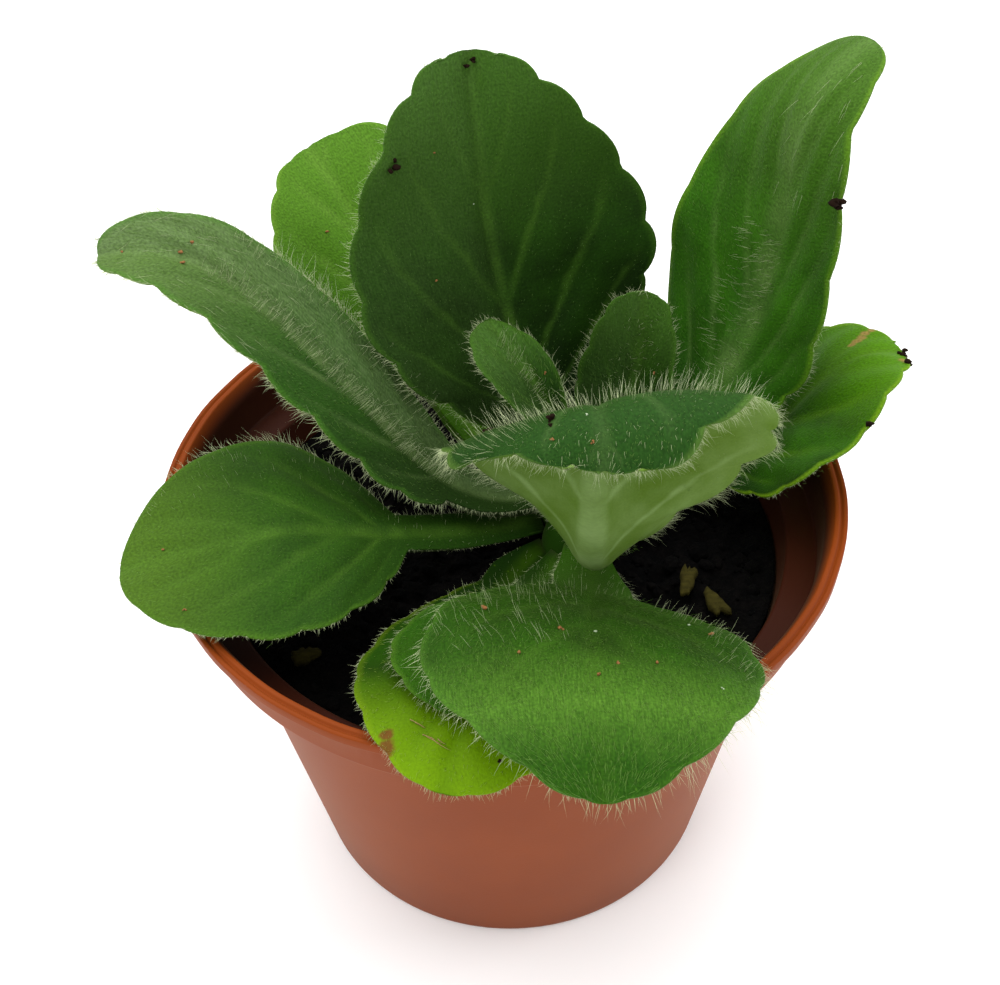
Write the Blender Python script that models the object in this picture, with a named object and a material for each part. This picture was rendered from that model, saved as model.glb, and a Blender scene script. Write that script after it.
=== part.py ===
"""A potted primulina: a hairy-leaved rosette in a 6 cm plastic nursery pot.

Every length in the tables below is in millimetres and every angle in degrees; the meshes are
written in metres. The origin is the centre of the pot's flat underside, with +Z up. Seen from
the front, -Y is towards the viewer and +X is to the right.
"""
import bpy
import bmesh
import numpy as np

MM = 0.001
GAP = 0.3

# Pot, an injection-moulded cup with a collar under its lip
POT_RADIUS = 30.0
POT_HEIGHT = 41.3
BASE_RADIUS = 19.8
WALL = 0.6
FLOOR = 0.8
COLLAR_DEPTH = 5.7
BODY_TOP_RADIUS = 25.8
COLLAR_RADIUS = 28.5
LIP_HEIGHT = 1.0
LIP_WIDTH = 1.1
DRAIN_HOLES = 6
DRAIN_HOLE_RADIUS = 1.8
DRAIN_CIRCLE = 12.5
POT_SIDES = 56

# Peat, level with the foot of the collar, with a hole for the stem
PEAT_EDGE_HEIGHT = 33.4
PEAT_CROWN_HEIGHT = 32.0
PEAT_RELIEF = 0.45
PEAT_RINGS = 7
PEAT_SIDES = 56
STEM_DEPTH = 8.0

# Stem, which stands to the right of the pot's axis
STEM_X = 6.5
STEM_Y = 0.0
STEM_RADIUS = 3.65
STEM_TOP = 38.3
STEM_SIDES = 24

# Bits of bark on the peat: x, y, length, width, turn
CHIPS = {
    "wood_chip_front": (16.0, -6.2, 3.2, 1.8, 70.0),
    "wood_chip_right": (18.2, -8.9, 2.6, 1.9, 110.0),
    "wood_chip_left": (-17.3, -13.3, 2.2, 1.6, 20.0),
}
CHIP_THICKNESS = 0.9

# Leaves. A leaf starts at the stem's side at `azimuth` and height `foot`, and follows its midrib,
# whose compass heading and rise over the horizon are given at even steps from foot to tip.
# `fold` lifts both halves from the midrib, `curl` bends each half further on its way to the edge
# (left, right, looking outward), `twist` rolls the blade about the midrib, and `sides` scales
# the two half widths. `round` is the fullness of the outline at its base and at its tip.
COMMON = dict(foot_radius=4.2, foot_width=3.0, stalk=4.4, widest=0.52, round=(0.8, 0.5), sides=(1.0, 1.0),
              sweep=0.10, twist=(0, 0), fold=(20, 10, 5), curl=((0, 0), (0, 0)),
              teeth=7, tooth_depth=0.75, thickness=0.8, rib=1.4, rows=28, stalk_rows=5, columns=3)
LEAVES = {
    "leaf_front_yellow": dict(
        azimuth=-153, foot=34.3, petiole=6.3, blade=27.4, width=19.5, widest=0.57, round=(0.55, 0.5),
        rise=(9, 17, 22, 15, -26), heading=(-128, -105, -97, -100, -107), twist=(20, 2, 0),
        fold=(0, -2, 1, 1, -1), sides=(1.02, 0.94), foot_width=2.4, thickness=0.7, rib=0.6),
    "leaf_front_mid": dict(
        azimuth=-118, foot=35.1, petiole=7.2, blade=20.2, width=16.2, widest=0.58, round=(0.8, 0.5),
        rise=(18, 34, 25, 9, -11), heading=(-108, -109, -112, -112, -111), twist=(2, -4, -1),
        fold=(6, -2, -7, -9, 3), curl=((-1, 0), (-3, -5)), foot_width=2.2, sweep=0.06, thickness=0.7, rib=0.5, teeth=6),
    "leaf_front": dict(
        azimuth=-76, foot=36.3, petiole=10.2, blade=27.3, width=28.8, widest=0.53, round=(0.83, 0.6),
        rise=(18, 34, 28, 9, -35), heading=(-91, -94, -95, -89, -92), twist=(18, 7, 4),
        fold=(-12, 3, 6, 3, 17), curl=((1, 2, -15, -15), (-1, -11, -12, -20)), sides=(0.88, 0.87),
        stalk=5.6, foot_width=3.4, rib=0.9),
    "leaf_left_low": dict(
        azimuth=166, foot=35.4, petiole=13.3, blade=25.1, width=22.0, widest=0.49, round=(0.5, 0.8),
        rise=(18, 24, 22, -5, -22), heading=(210, 208, 197, 191, 180), twist=(26, 10, 13),
        fold=(-12, -5, 0, 2, 25), curl=((-2, 4, -2, 8), (0, -6, -13, -7)), sides=(0.94, 0.98), stalk=4.0,
        foot_radius=4.45),
    "leaf_right_low": dict(
        azimuth=10, foot=35.2, petiole=9.7, blade=20.4, width=20.2, widest=0.44, round=(0.55, 0.5),
        rise=(28, 30, 37, 39, -22), heading=(19, 14, 11, 17, 0), twist=(12, 10, 14),
        fold=(12, 6, 2, -6, 5), curl=((0, -1, -3, 1), (0, -11, 17, -6)), sides=(0.98, 1.05)),
    "leaf_back_left": dict(
        azimuth=127, foot=35.5, petiole=12.5, blade=27.3, width=23.8, widest=0.59, round=(0.88, 0.42),
        rise=(18, 31, 49, 49, 32), heading=(136, 136, 130, 129, 137), twist=(0, 2, 3),
        fold=(11, 11, 10, 9, 8), curl=((0, 0), (0, 3)), sides=(0.83, 1.15)),
    "leaf_left_long": dict(
        azimuth=165, foot=38.6, petiole=7.9, blade=37.4, width=10.4, widest=0.48, round=(0.3, 0.36),
        rise=(8, 49, 48, 35, -21), heading=(197, 170, 162, 166, 178), twist=(17, 13, 22),
        fold=(23, 7, 9, 13, 17), curl=((-9, -5, 0, -5), (-1, -6, -11, 5)), sides=(1.08, 0.89), teeth=8),
    "leaf_back": dict(
        azimuth=97, foot=38.1, petiole=2.4, blade=37.1, width=28.0, widest=0.5, round=(1.1, 0.44),
        rise=(35, 59, 70, 80, 69), heading=(117, 124, 122, 115, 97), twist=(6, 11, 4),
        fold=(21, 16, 18, 16, 32), curl=((-3, 2, -7, 9), (0, 5, 5, 1)), tooth_depth=1.0),
    "leaf_right_tall": dict(
        azimuth=26, foot=37.9, petiole=6.8, blade=40.3, width=19.0, widest=0.44, round=(1.0, 0.32),
        rise=(34, 45, 76, 84, 18), heading=(19, 33, 34, 29, 16), twist=(-16, -1, 9),
        fold=(6, 1, 11, -7, -7), curl=((3, -20, 10, -18), (-5, -10, 14, -1)), sides=(1.12, 0.88), teeth=8),
    "leaf_middle": dict(
        azimuth=-64, foot=38.3, petiole=9.0, blade=26.0, width=24.8, widest=0.62, round=(0.85, 0.5),
        rise=(34, 40, 108, 65, -80), heading=(-93, -100, -98, -96, -81), twist=(5, 3, -22),
        fold=(32, 25, 23, 9, 9), curl=((4, 2, -30, -44), (3, -2, -44, -42)), sides=(1.1, 0.98),
        stalk=3.4, foot_width=2.6, rib=0.6),
    "leaf_young_left": dict(
        azimuth=140, foot=38.8, foot_radius=2.4, petiole=4.2, blade=14.8, width=7.8, widest=0.64,
        round=(0.84, 0.4), rise=(100, 92, 56, 34, 20), heading=(139, 136, 134, 131, 127),
        twist=(9, 4, -7), fold=(55, 44, 28, 14, -8), sides=(1.15, 0.6), stalk=2.6, foot_width=2.0,
        rib=0.8, teeth=5, tooth_depth=0.3, rows=20, stalk_rows=4, columns=2),
    "leaf_young_right": dict(
        azimuth=60, foot=38.9, foot_radius=2.4, petiole=2.5, blade=16.4, width=9.4, widest=0.44,
        round=(0.84, 0.32), rise=(54, 45, 64, 82, 79), heading=(46, 46, 54, 63, 75),
        twist=(-6, -3, -5), fold=(31, 26, 21, 17, 11), sides=(1.05, 0.95), stalk=2.6, foot_width=2.0,
        rib=0.8, teeth=5, tooth_depth=0.3, rows=20, stalk_rows=4, columns=2),
}


def clear_scene():
    for old in list(bpy.data.objects):
        bpy.data.objects.remove(old, do_unlink=True)


def principled(name, colour, roughness):
    """A plain material of one colour, given as linear RGB."""
    material = bpy.data.materials.new(name)
    material.use_nodes = True
    shader = material.node_tree.nodes["Principled BSDF"]
    shader.inputs["Base Color"].default_value = (*colour, 1.0)
    shader.inputs["Roughness"].default_value = roughness
    shader.inputs["Metallic"].default_value = 0.0
    return material


def add_object(name, points, faces, material):
    """A mesh object from points in millimetres; its faces are split and turned outward."""
    mesh = bpy.data.meshes.new(name)
    mesh.from_pydata([tuple(float(c) * MM for c in p) for p in points], [], faces)
    shape = bmesh.new()
    shape.from_mesh(mesh)
    bmesh.ops.recalc_face_normals(shape, faces=shape.faces)
    shape.to_mesh(mesh)
    shape.free()
    mesh.materials.append(material)
    mesh.shade_smooth()
    mesh.set_sharp_from_angle(angle=np.radians(40.0))
    thing = bpy.data.objects.new(name, mesh)
    bpy.context.collection.objects.link(thing)
    return thing


def loft(rings, close_ends=True):
    """Points and faces of a closed skin over rings with the same number of points each."""
    sides = len(rings[0])
    points = [p for ring in rings for p in ring]
    faces = []
    for k in range(len(rings) - 1):
        for i in range(sides):
            j = (i + 1) % sides
            faces.append((k * sides + i, k * sides + j, (k + 1) * sides + j, (k + 1) * sides + i))
    if close_ends:
        faces.append(tuple(range(sides)))
        faces.append(tuple(range((len(rings) - 1) * sides, len(rings) * sides)))
    return points, faces


def circle(x, y, z, radius, sides):
    turn = 2 * np.pi * np.arange(sides) / sides
    return [(x + radius * np.cos(a), y + radius * np.sin(a), z) for a in turn]


def inner_radius(z):
    """Radius of the pot body's inner wall at height z, below the collar."""
    step = POT_HEIGHT - COLLAR_DEPTH
    return BASE_RADIUS + (BODY_TOP_RADIUS - BASE_RADIUS) * z / step - WALL


def pot_profile():
    """Radius and height along the pot's section, from the underside's centre up and back in."""
    step = POT_HEIGHT - COLLAR_DEPTH
    lip_foot = POT_HEIGHT - LIP_HEIGHT
    rim_in = POT_RADIUS - LIP_WIDTH
    groove = POT_RADIUS - LIP_WIDTH / 2
    outer = [(BASE_RADIUS - 0.8, 0.0), (BASE_RADIUS, 0.8), (BODY_TOP_RADIUS, step - 0.5),
             (BODY_TOP_RADIUS + 0.5, step), (COLLAR_RADIUS - 0.3, step), (COLLAR_RADIUS, step + 0.4),
             (COLLAR_RADIUS + 0.4, lip_foot), (POT_RADIUS - 0.1, lip_foot), (POT_RADIUS, lip_foot + 0.2),
             (POT_RADIUS, POT_HEIGHT - 0.2), (POT_RADIUS - 0.2, POT_HEIGHT),
             (groove + 0.15, POT_HEIGHT), (groove, POT_HEIGHT - 0.2), (groove - 0.15, POT_HEIGHT)]
    inner = [(rim_in + 0.1, POT_HEIGHT), (rim_in, POT_HEIGHT - 0.15), (COLLAR_RADIUS + 0.3 - WALL, lip_foot - 0.5),
             (COLLAR_RADIUS - WALL, step + WALL + 0.3), (COLLAR_RADIUS - WALL - 0.4, step + WALL),
             (inner_radius(step) + 0.3, step + WALL), (inner_radius(step), step + WALL - 0.5),
             (inner_radius(FLOOR) + 0.1, FLOOR + 0.6), (inner_radius(FLOOR) - 0.5, FLOOR)]
    return outer + inner


def make_pot():
    rings = [circle(0, 0, z, r, POT_SIDES) for r, z in pot_profile()]
    plastic = principled("terracotta_polypropylene", (0.31, 0.10, 0.05), 0.5)
    pot = add_object("pot", *loft(rings), plastic)
    for k in range(DRAIN_HOLES):
        turn = 2 * np.pi * (k + 0.5) / DRAIN_HOLES
        x, y = DRAIN_CIRCLE * np.cos(turn), DRAIN_CIRCLE * np.sin(turn)
        drill_rings = [circle(x, y, z, DRAIN_HOLE_RADIUS, 12) for z in (-1.0, FLOOR + 1.0)]
        drill = add_object(f"drain_drill_{k + 1}", *loft(drill_rings), plastic)
        drill.hide_render = True
        drill.display_type = 'WIRE'
        cut = pot.modifiers.new(f"drain_hole_{k + 1}", 'BOOLEAN')
        cut.operation = 'DIFFERENCE'
        cut.object = drill


def peat_bumps(x, y):
    """Crumbly relief: a few waves of different length and direction."""
    return PEAT_RELIEF * (np.sin(0.9 * x + 1.1 * y) * np.cos(0.7 * y - 0.5 * x)
                          + 0.6 * np.sin(1.9 * x - 0.8 * y + 1.0) + 0.5 * np.sin(2.3 * y + 0.6 * x))


def peat_height(x, y):
    """Height of the peat's surface, which dips a little towards the stem."""
    from_axis = min(np.hypot(x, y) / inner_radius(PEAT_EDGE_HEIGHT), 1.0)
    to_stem = np.hypot(x - STEM_X, y - STEM_Y)
    away = min(to_stem / 12.0, 1.0)
    level = PEAT_CROWN_HEIGHT + (PEAT_EDGE_HEIGHT - PEAT_CROWN_HEIGHT) * away
    quiet = min(1.0, (1.0 - from_axis) * 8.0) * min(1.0, max(to_stem - 4.5, 0.0) / 3.0)
    return level + peat_bumps(x, y) * quiet


def make_peat():
    hole = STEM_RADIUS + GAP
    floor = FLOOR + GAP
    bottom = STEM_DEPTH + GAP
    rings = [circle(0, 0, floor, inner_radius(floor) - GAP - 1.2, PEAT_SIDES),
             circle(0, 0, floor + 1.0, inner_radius(floor + 1.0) - GAP, PEAT_SIDES),
             circle(0, 0, PEAT_EDGE_HEIGHT, inner_radius(PEAT_EDGE_HEIGHT) - GAP, PEAT_SIDES)]
    edge = inner_radius(PEAT_EDGE_HEIGHT) - GAP
    for k in range(1, PEAT_RINGS + 1):
        f = k / PEAT_RINGS
        flat = circle(STEM_X * f, STEM_Y * f, 0.0, edge + (hole - edge) * f, PEAT_SIDES)
        rings.append([(x, y, peat_height(x, y)) for x, y, _ in flat])
    rings.append(circle(STEM_X, STEM_Y, PEAT_CROWN_HEIGHT - bottom, hole, PEAT_SIDES))
    add_object("peat", *loft(rings), principled("peat", (0.012, 0.009, 0.007), 0.95))


def make_stem():
    shoulder = STEM_TOP - 1.8
    section = [(PEAT_CROWN_HEIGHT - STEM_DEPTH, STEM_RADIUS - 0.6), (PEAT_CROWN_HEIGHT - STEM_DEPTH + 1.0, STEM_RADIUS),
               (shoulder, STEM_RADIUS), (STEM_TOP - 0.9, 3.2), (STEM_TOP - 0.3, 2.2), (STEM_TOP, 0.9)]
    rings = [circle(STEM_X, STEM_Y, z, r, STEM_SIDES) for z, r in section]
    add_object("stem", *loft(rings), principled("young_stem", (0.10, 0.20, 0.04), 0.6))


def make_chips():
    """Splinters of bark: flat lozenges with blunt ends that lie on the highest bump under them."""
    bark = principled("pale_wood_chip", (0.42, 0.36, 0.16), 0.85)
    for name, (x, y, length, width, turn) in CHIPS.items():
        c, s = np.cos(np.radians(turn)), np.sin(np.radians(turn))
        outline = [(-0.5, -0.15), (-0.2, -0.5), (0.3, -0.45), (0.5, -0.1), (0.42, 0.3), (0.0, 0.5), (-0.4, 0.35)]
        foot = [(x + c * u * length - s * v * width, y + s * u * length + c * v * width) for u, v in outline]
        seat = max(peat_height(px, py) for px, py in foot + [(x, y)]) + 1.5 * GAP
        rings = [[(x + (px - x) * k, y + (py - y) * k, seat + h) for px, py in foot]
                 for k, h in ((0.8, 0.0), (1.0, 0.4 * CHIP_THICKNESS), (0.65, CHIP_THICKNESS))]
        add_object(name, *loft(rings), bark)


def along(values, t):
    """A smooth curve through values at even steps of t from 0 to 1."""
    values = np.array([2 * values[0] - values[1], *values, 2 * values[-1] - values[-2]], float)
    x = np.clip(t, 0, 1) * (len(values) - 3)
    i = np.minimum(np.floor(x).astype(int), len(values) - 4)
    f = x - i
    a, b, c, d = values[i], values[i + 1], values[i + 2], values[i + 3]
    return b + 0.5 * f * (c - a + f * (2 * a - 5 * b + 4 * c - d + f * (3 * (b - c) + d - a)))


def midrib(leaf, steps=120):
    """Distance from the foot, and at each step the place and the forward, right and up axes."""
    length = leaf["petiole"] + leaf["blade"]
    s = np.linspace(0, length, steps)
    rise = np.radians(along(leaf["rise"], s / length))
    heading = np.radians(along(leaf["heading"], s / length))
    forward = np.stack([np.cos(rise) * np.cos(heading), np.cos(rise) * np.sin(heading), np.sin(rise)], 1)
    azimuth = np.radians(leaf["azimuth"])
    place = np.zeros((steps, 3))
    place[1:] = np.cumsum((forward[1:] + forward[:-1]) / 2, 0) * length / (steps - 1)
    place += (STEM_X + leaf["foot_radius"] * np.cos(azimuth), STEM_Y + leaf["foot_radius"] * np.sin(azimuth),
              leaf["foot"])
    level = np.stack([np.sin(heading), -np.cos(heading), 0 * heading], 1)
    twist = np.radians(along(leaf["twist"], s / length))[:, None]
    right = level * np.cos(twist) + np.cross(level, forward) * np.sin(twist)
    return s, place, right, np.cross(right, forward)


def flat_outline(leaf):
    """Half outline of the flattened leaf: distance out, half width, where its side vein leaves
    the midrib, and the rounded teeth as a push along the outline's own normal."""
    even = np.linspace(0, 1, leaf["rows"] + 1)
    out = (1 - np.cos(np.pi * even)) / 2
    skew = np.log(0.5) / np.log(leaf["widest"])
    full = leaf["round"][0] + (leaf["round"][1] - leaf["round"][0]) * out
    half = leaf["width"] / 2 * np.maximum(np.sin(np.pi * out ** skew), 0) ** full
    neck = leaf["stalk"] / 2 * np.clip(1 - out / 0.55, 0, 1) ** 1.3
    stalk = np.linspace(0, leaf["petiole"], leaf["stalk_rows"], endpoint=False)
    widening = np.clip(stalk / (0.6 * leaf["petiole"]), 0, 1)
    stalk_half = leaf["foot_width"] / 2 + (leaf["stalk"] - leaf["foot_width"]) / 2 * widening
    x = np.r_[stalk, leaf["petiole"] + leaf["blade"] * out]
    y = np.r_[stalk_half, np.hypot(half, neck)]
    vein = np.r_[stalk, leaf["petiole"] + leaf["blade"] * (out - leaf["sweep"] * np.sin(np.pi * out))]
    even = np.r_[0 * stalk, even]
    dx, dy = np.gradient(x), np.gradient(y)
    phase = np.clip((even - 0.10) / 0.90, 0, 1) * leaf["teeth"]
    lobe = np.abs(np.sin(np.pi * phase)) ** 0.7 - 0.7
    push = leaf["tooth_depth"] * lobe * np.clip((even - 0.10) / 0.15, 0, 1) / np.hypot(dx, dy)
    return x, y, vein, -dy * push, dx * push


def leaf_surface(leaf):
    """Grid of points on the leaf's upper face, from foot to tip and from left edge to right."""
    s, place, right, up = midrib(leaf)
    x, y, vein, tooth_x, tooth_y = flat_outline(leaf)
    columns = np.linspace(-1, 1, 2 * leaf["columns"] + 1)
    grid = np.zeros((len(x), len(columns), 3))
    for j, u in enumerate(columns):
        a = abs(u)
        side = 1 if u >= 0 else -1
        hand = 1 if u >= 0 else 0
        out = vein + (x - vein) * a + tooth_x * a ** 3
        across = (y * a + tooth_y * a ** 3) * leaf["sides"][hand]
        out[-1], across[-1] = x[-1], 0.0
        t = np.clip(out / s[-1], 0, 1)
        part = (np.arange(8) + 0.5) / 8
        bend = along(leaf["curl"][hand], t)[:, None] * part * (across / (leaf["width"] / 2))[:, None]
        angle = np.radians(along(leaf["fold"], t)[:, None] + bend)
        side_step = side * across * np.cos(angle).mean(1)
        up_step = across * np.sin(angle).mean(1)
        for axis in range(3):
            grid[:, j, axis] = (np.interp(out, s, place[:, axis]) + side_step * np.interp(out, s, right[:, axis])
                                + up_step * np.interp(out, s, up[:, axis]))
    return grid


def leaf_thickness(leaf):
    """Thickness over the grid: a thin edge, and a rib under the midrib that fades to the tip."""
    rows = leaf["rows"] + leaf["stalk_rows"] + 1
    fade = np.clip((np.arange(rows) - leaf["stalk_rows"]) / leaf["rows"], 0, 1)[:, None]
    across = np.abs(np.linspace(-1, 1, 2 * leaf["columns"] + 1))[None]
    return leaf["thickness"] + leaf["rib"] * (1 - fade) ** 1.2 * (1 - across ** 2) ** 1.5


def make_leaf(name, leaf, material):
    top = leaf_surface(leaf)
    normal = np.cross(np.gradient(top, axis=1), np.gradient(top, axis=0))
    normal[-1] = normal[-2, leaf["columns"]]
    normal /= np.linalg.norm(normal, axis=2, keepdims=True)
    under = top - normal * leaf_thickness(leaf)[..., None]
    rows, columns = top.shape[:2]
    last = rows - 1
    points = [*top[:last].reshape(-1, 3), *under[:last].reshape(-1, 3), top[last, 0], under[last, 0]]
    below = last * columns
    tip = 2 * below
    faces = []
    for i in range(last - 1):
        for j in range(columns - 1):
            a, b, c, d = i * columns + j, i * columns + j + 1, (i + 1) * columns + j + 1, (i + 1) * columns + j
            halves = [(a, b, c), (a, c, d)] if j < leaf["columns"] else [(a, b, d), (b, c, d)]
            faces += [tuple(k + lift for k in half) for half in halves for lift in (0, below)]
        for j in (0, columns - 1):
            a, d = i * columns + j, (i + 1) * columns + j
            faces.append((a, d, d + below, a + below))
    for j in range(columns - 1):
        a = (last - 1) * columns + j
        faces += [(a, a + 1, tip), (a + below, a + 1 + below, tip + 1), (j, j + 1, j + 1 + below, j + below)]
    for j in (0, columns - 1):
        a = (last - 1) * columns + j
        faces.append((a, tip, tip + 1, a + below))
    add_object(name, points, faces, material)


def make_leaves():
    green = principled("leaf", (0.035, 0.115, 0.018), 0.55)
    lime = principled("ageing_leaf", (0.16, 0.30, 0.02), 0.55)
    for name, own in LEAVES.items():
        make_leaf(name, {**COMMON, **own}, lime if name in ("leaf_front_yellow", "leaf_right_low") else green)


clear_scene()
make_pot()
make_peat()
make_stem()
make_chips()
make_leaves()
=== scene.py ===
# %% [markdown]
# # A potted primulina
# This lesson dresses a small rosette plant in its nursery pot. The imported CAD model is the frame:
# every piece made here goes where the CAD says, and replaces a plain CAD solid with a finer mesh.
# Lengths in the tables are millimetres, angles are degrees, and Blender works in metres.

import bpy
import numpy as np
from mathutils import Matrix, Vector


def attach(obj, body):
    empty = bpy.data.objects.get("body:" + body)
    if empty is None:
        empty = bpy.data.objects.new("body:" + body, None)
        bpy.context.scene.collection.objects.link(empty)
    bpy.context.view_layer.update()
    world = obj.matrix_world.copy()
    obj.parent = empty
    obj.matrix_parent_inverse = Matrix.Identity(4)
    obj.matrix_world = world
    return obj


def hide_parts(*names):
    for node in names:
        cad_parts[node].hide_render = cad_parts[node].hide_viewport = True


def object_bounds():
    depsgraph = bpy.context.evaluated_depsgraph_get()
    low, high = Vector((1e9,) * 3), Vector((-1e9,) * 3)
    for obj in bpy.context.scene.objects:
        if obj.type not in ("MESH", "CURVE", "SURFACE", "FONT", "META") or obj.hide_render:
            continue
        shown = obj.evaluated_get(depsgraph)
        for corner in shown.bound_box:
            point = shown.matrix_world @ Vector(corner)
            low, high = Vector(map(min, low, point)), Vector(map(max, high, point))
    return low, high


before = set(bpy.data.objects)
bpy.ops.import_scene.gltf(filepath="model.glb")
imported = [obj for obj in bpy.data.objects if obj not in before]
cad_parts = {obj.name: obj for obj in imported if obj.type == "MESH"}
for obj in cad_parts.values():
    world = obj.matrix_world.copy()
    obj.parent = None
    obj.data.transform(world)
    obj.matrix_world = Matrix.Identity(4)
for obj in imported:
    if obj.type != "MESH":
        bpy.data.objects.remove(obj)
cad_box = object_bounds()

MM = 0.001
print("nodes in the frame:", sorted(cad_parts))

# %% [markdown]
# ## Small helpers
# Colours are chosen as sRGB hex values, as a paint program shows them, but a shader calculates with
# linear light, so one function turns them. Another adds a shader node with its settings and links;
# a link is simply another node's output socket given as the value. A third makes a mesh from plain
# arrays, which is much faster than adding faces one by one when a plant carries thousands of hairs.
# It also says what every piece needs: that it rides on the object's one body, and which plain
# solid it replaces, if any.

# %% Colour, node and mesh helpers
def srgb(code):
    """Linear RGBA from a hex colour such as "#8b4e32"."""
    values = np.array([int(code[k:k + 2], 16) / 255 for k in (1, 3, 5)])
    linear = np.where(values <= 0.04045, values / 12.92, ((values + 0.055) / 1.055) ** 2.4)
    return (*(float(v) for v in linear), 1.0)


def add_node(tree, kind, inputs=None, **settings):
    """Adds a node. `settings` are its properties, `inputs` its sockets: a value, or a socket to link."""
    made = tree.nodes.new(kind)
    for name, value in settings.items():
        setattr(made, name, value)
    for name, value in (inputs or {}).items():
        if isinstance(value, bpy.types.NodeSocket):
            tree.links.new(value, made.inputs[name])
        else:
            made.inputs[name].default_value = value
    return made


def new_material(name, **constants):
    """A material with one Principled shader, whose constant values are set on its own sockets."""
    material = bpy.data.materials.new(name)
    material.use_nodes = True
    shader = material.node_tree.nodes["Principled BSDF"]
    for socket, value in constants.items():
        shader.inputs[socket.replace("_", " ")].default_value = value
    return material, material.node_tree, shader


# the Mix node holds sockets for several kinds of data, so those for colours are reached by number
MIX_SHARE, MIX_A, MIX_B, MIXED = 0, 6, 7, 2


def new_piece(name, points, faces, material, slot, replaces=(), attributes=None):
    """A smooth-shaded piece from points in millimetres and a list of arrays of faces."""
    mesh = bpy.data.meshes.new(name)
    mesh.vertices.add(len(points))
    mesh.vertices.foreach_set("co", (np.asarray(points, float) * MM).ravel())
    corners = np.concatenate([np.asarray(part).ravel() for part in faces])
    sizes = np.concatenate([np.full(len(part), np.shape(part)[1]) for part in faces])
    mesh.loops.add(len(corners))
    mesh.loops.foreach_set("vertex_index", corners)
    mesh.polygons.add(len(sizes))
    mesh.polygons.foreach_set("loop_start", np.concatenate([[0], np.cumsum(sizes)[:-1]]))
    mesh.polygons.foreach_set("use_smooth", np.ones(len(sizes), bool))
    for label, values in (attributes or {}).items():
        layer = mesh.attributes.new(label, 'FLOAT_VECTOR', 'POINT')
        layer.data.foreach_set("vector", np.asarray(values, float).ravel())
    mesh.update(calc_edges=True)
    mesh.validate()
    mesh.materials.append(material)
    piece = bpy.data.objects.new(name, mesh)
    bpy.context.collection.objects.link(piece)
    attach(piece, "root")
    if replaces:
        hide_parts(*replaces)
    return piece


def triangles_of(piece):
    return sum(len(polygon.vertices) - 2 for polygon in piece.data.polygons)


print("the pot's brown in linear light:", [round(value, 3) for value in srgb("#823a0e")])

# %% [markdown]
# ## Camera
# The photo looks down on the pot at 43.6 degrees from close by, about four and a half pot radii
# away, and is turned by two degrees. The lens follows from how wide the pot is in the picture:
# 54.9 mm on a 36 mm sensor. Depth of field stays off.

# %% Set the camera
CAMERA_TARGET = Vector((-0.2, 0.0, 40.1)) * MM
CAMERA_DISTANCE = 135.0 * MM
CAMERA_ELEVATION = np.radians(43.6)
CAMERA_ROLL = np.radians(-2.0)
CAMERA_LENS = 54.86
SENSOR_WIDTH = 36.0
NEAREST_SEEN = 5.0 * MM

back = Vector((0.0, -np.cos(CAMERA_ELEVATION), np.sin(CAMERA_ELEVATION)))
level = Vector((1.0, 0.0, 0.0))
upright = back.cross(level)
right = level * np.cos(CAMERA_ROLL) + upright * np.sin(CAMERA_ROLL)
above = upright * np.cos(CAMERA_ROLL) - level * np.sin(CAMERA_ROLL)

camera = bpy.data.objects.new("camera", bpy.data.cameras.new("camera"))
bpy.context.collection.objects.link(camera)
camera.data.lens = CAMERA_LENS
camera.data.sensor_width = SENSOR_WIDTH
camera.data.clip_start = NEAREST_SEEN
camera.matrix_world = Matrix((
    (right.x, above.x, back.x, CAMERA_TARGET.x + back.x * CAMERA_DISTANCE),
    (right.y, above.y, back.y, CAMERA_TARGET.y + back.y * CAMERA_DISTANCE),
    (right.z, above.z, back.z, CAMERA_TARGET.z + back.z * CAMERA_DISTANCE),
    (0.0, 0.0, 0.0, 1.0)))
bpy.context.scene.camera = camera
print("camera at", [round(c, 4) for c in camera.matrix_world.translation])

# %% [markdown]
# ## Floor and light
# A product photo on white has soft light from all around, and most of it from above. A large
# panel hangs over the plant, a smaller one stands at the front on the left, and a dim white sky
# fills the shadows. A third panel lights the right side. Each is given by its place and its width
# in metres, and its power in watts. The floor is a wide disc of white paper that glows very
# faintly, as an overexposed backdrop does, so that no edge of it shows.

# %% Make the floor and the lights
FLOOR_RADIUS = 3.0
FLOOR_SIDES = 96
FLOOR_GLOW = 0.1
SKY_STRENGTH = 0.62
LAMPS_AIM = Vector((0.0, 0.0, 0.04))
PANELS = {
    "panel_above": ((-0.10, 0.20, 0.95), 1.4, 15.0),
    "panel_front_left": ((-0.45, -0.45, 0.55), 0.4, 1.2),
    "panel_right": ((0.70, 0.10, 0.30), 0.4, 1.9),
}

angles = np.linspace(0, 2 * np.pi, FLOOR_SIDES, endpoint=False)
floor_mesh = bpy.data.meshes.new("floor")
floor_points = [(FLOOR_RADIUS * np.cos(a), FLOOR_RADIUS * np.sin(a), 0.0) for a in angles]
floor_mesh.from_pydata(floor_points, [], [tuple(range(len(angles)))])
white_paper = new_material("white_paper", Base_Color=srgb("#fafafa"), Roughness=0.9,
                           Emission_Color=srgb("#ffffff"), Emission_Strength=FLOOR_GLOW)[0]
floor_mesh.materials.append(white_paper)
floor = bpy.data.objects.new("floor", floor_mesh)
bpy.context.collection.objects.link(floor)

world = bpy.data.worlds.new("white_sky")
world.use_nodes = True
world.node_tree.nodes["Background"].inputs["Color"].default_value = srgb("#ffffff")
world.node_tree.nodes["Background"].inputs["Strength"].default_value = SKY_STRENGTH
bpy.context.scene.world = world
bpy.context.scene.view_settings.view_transform = 'Standard'


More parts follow.
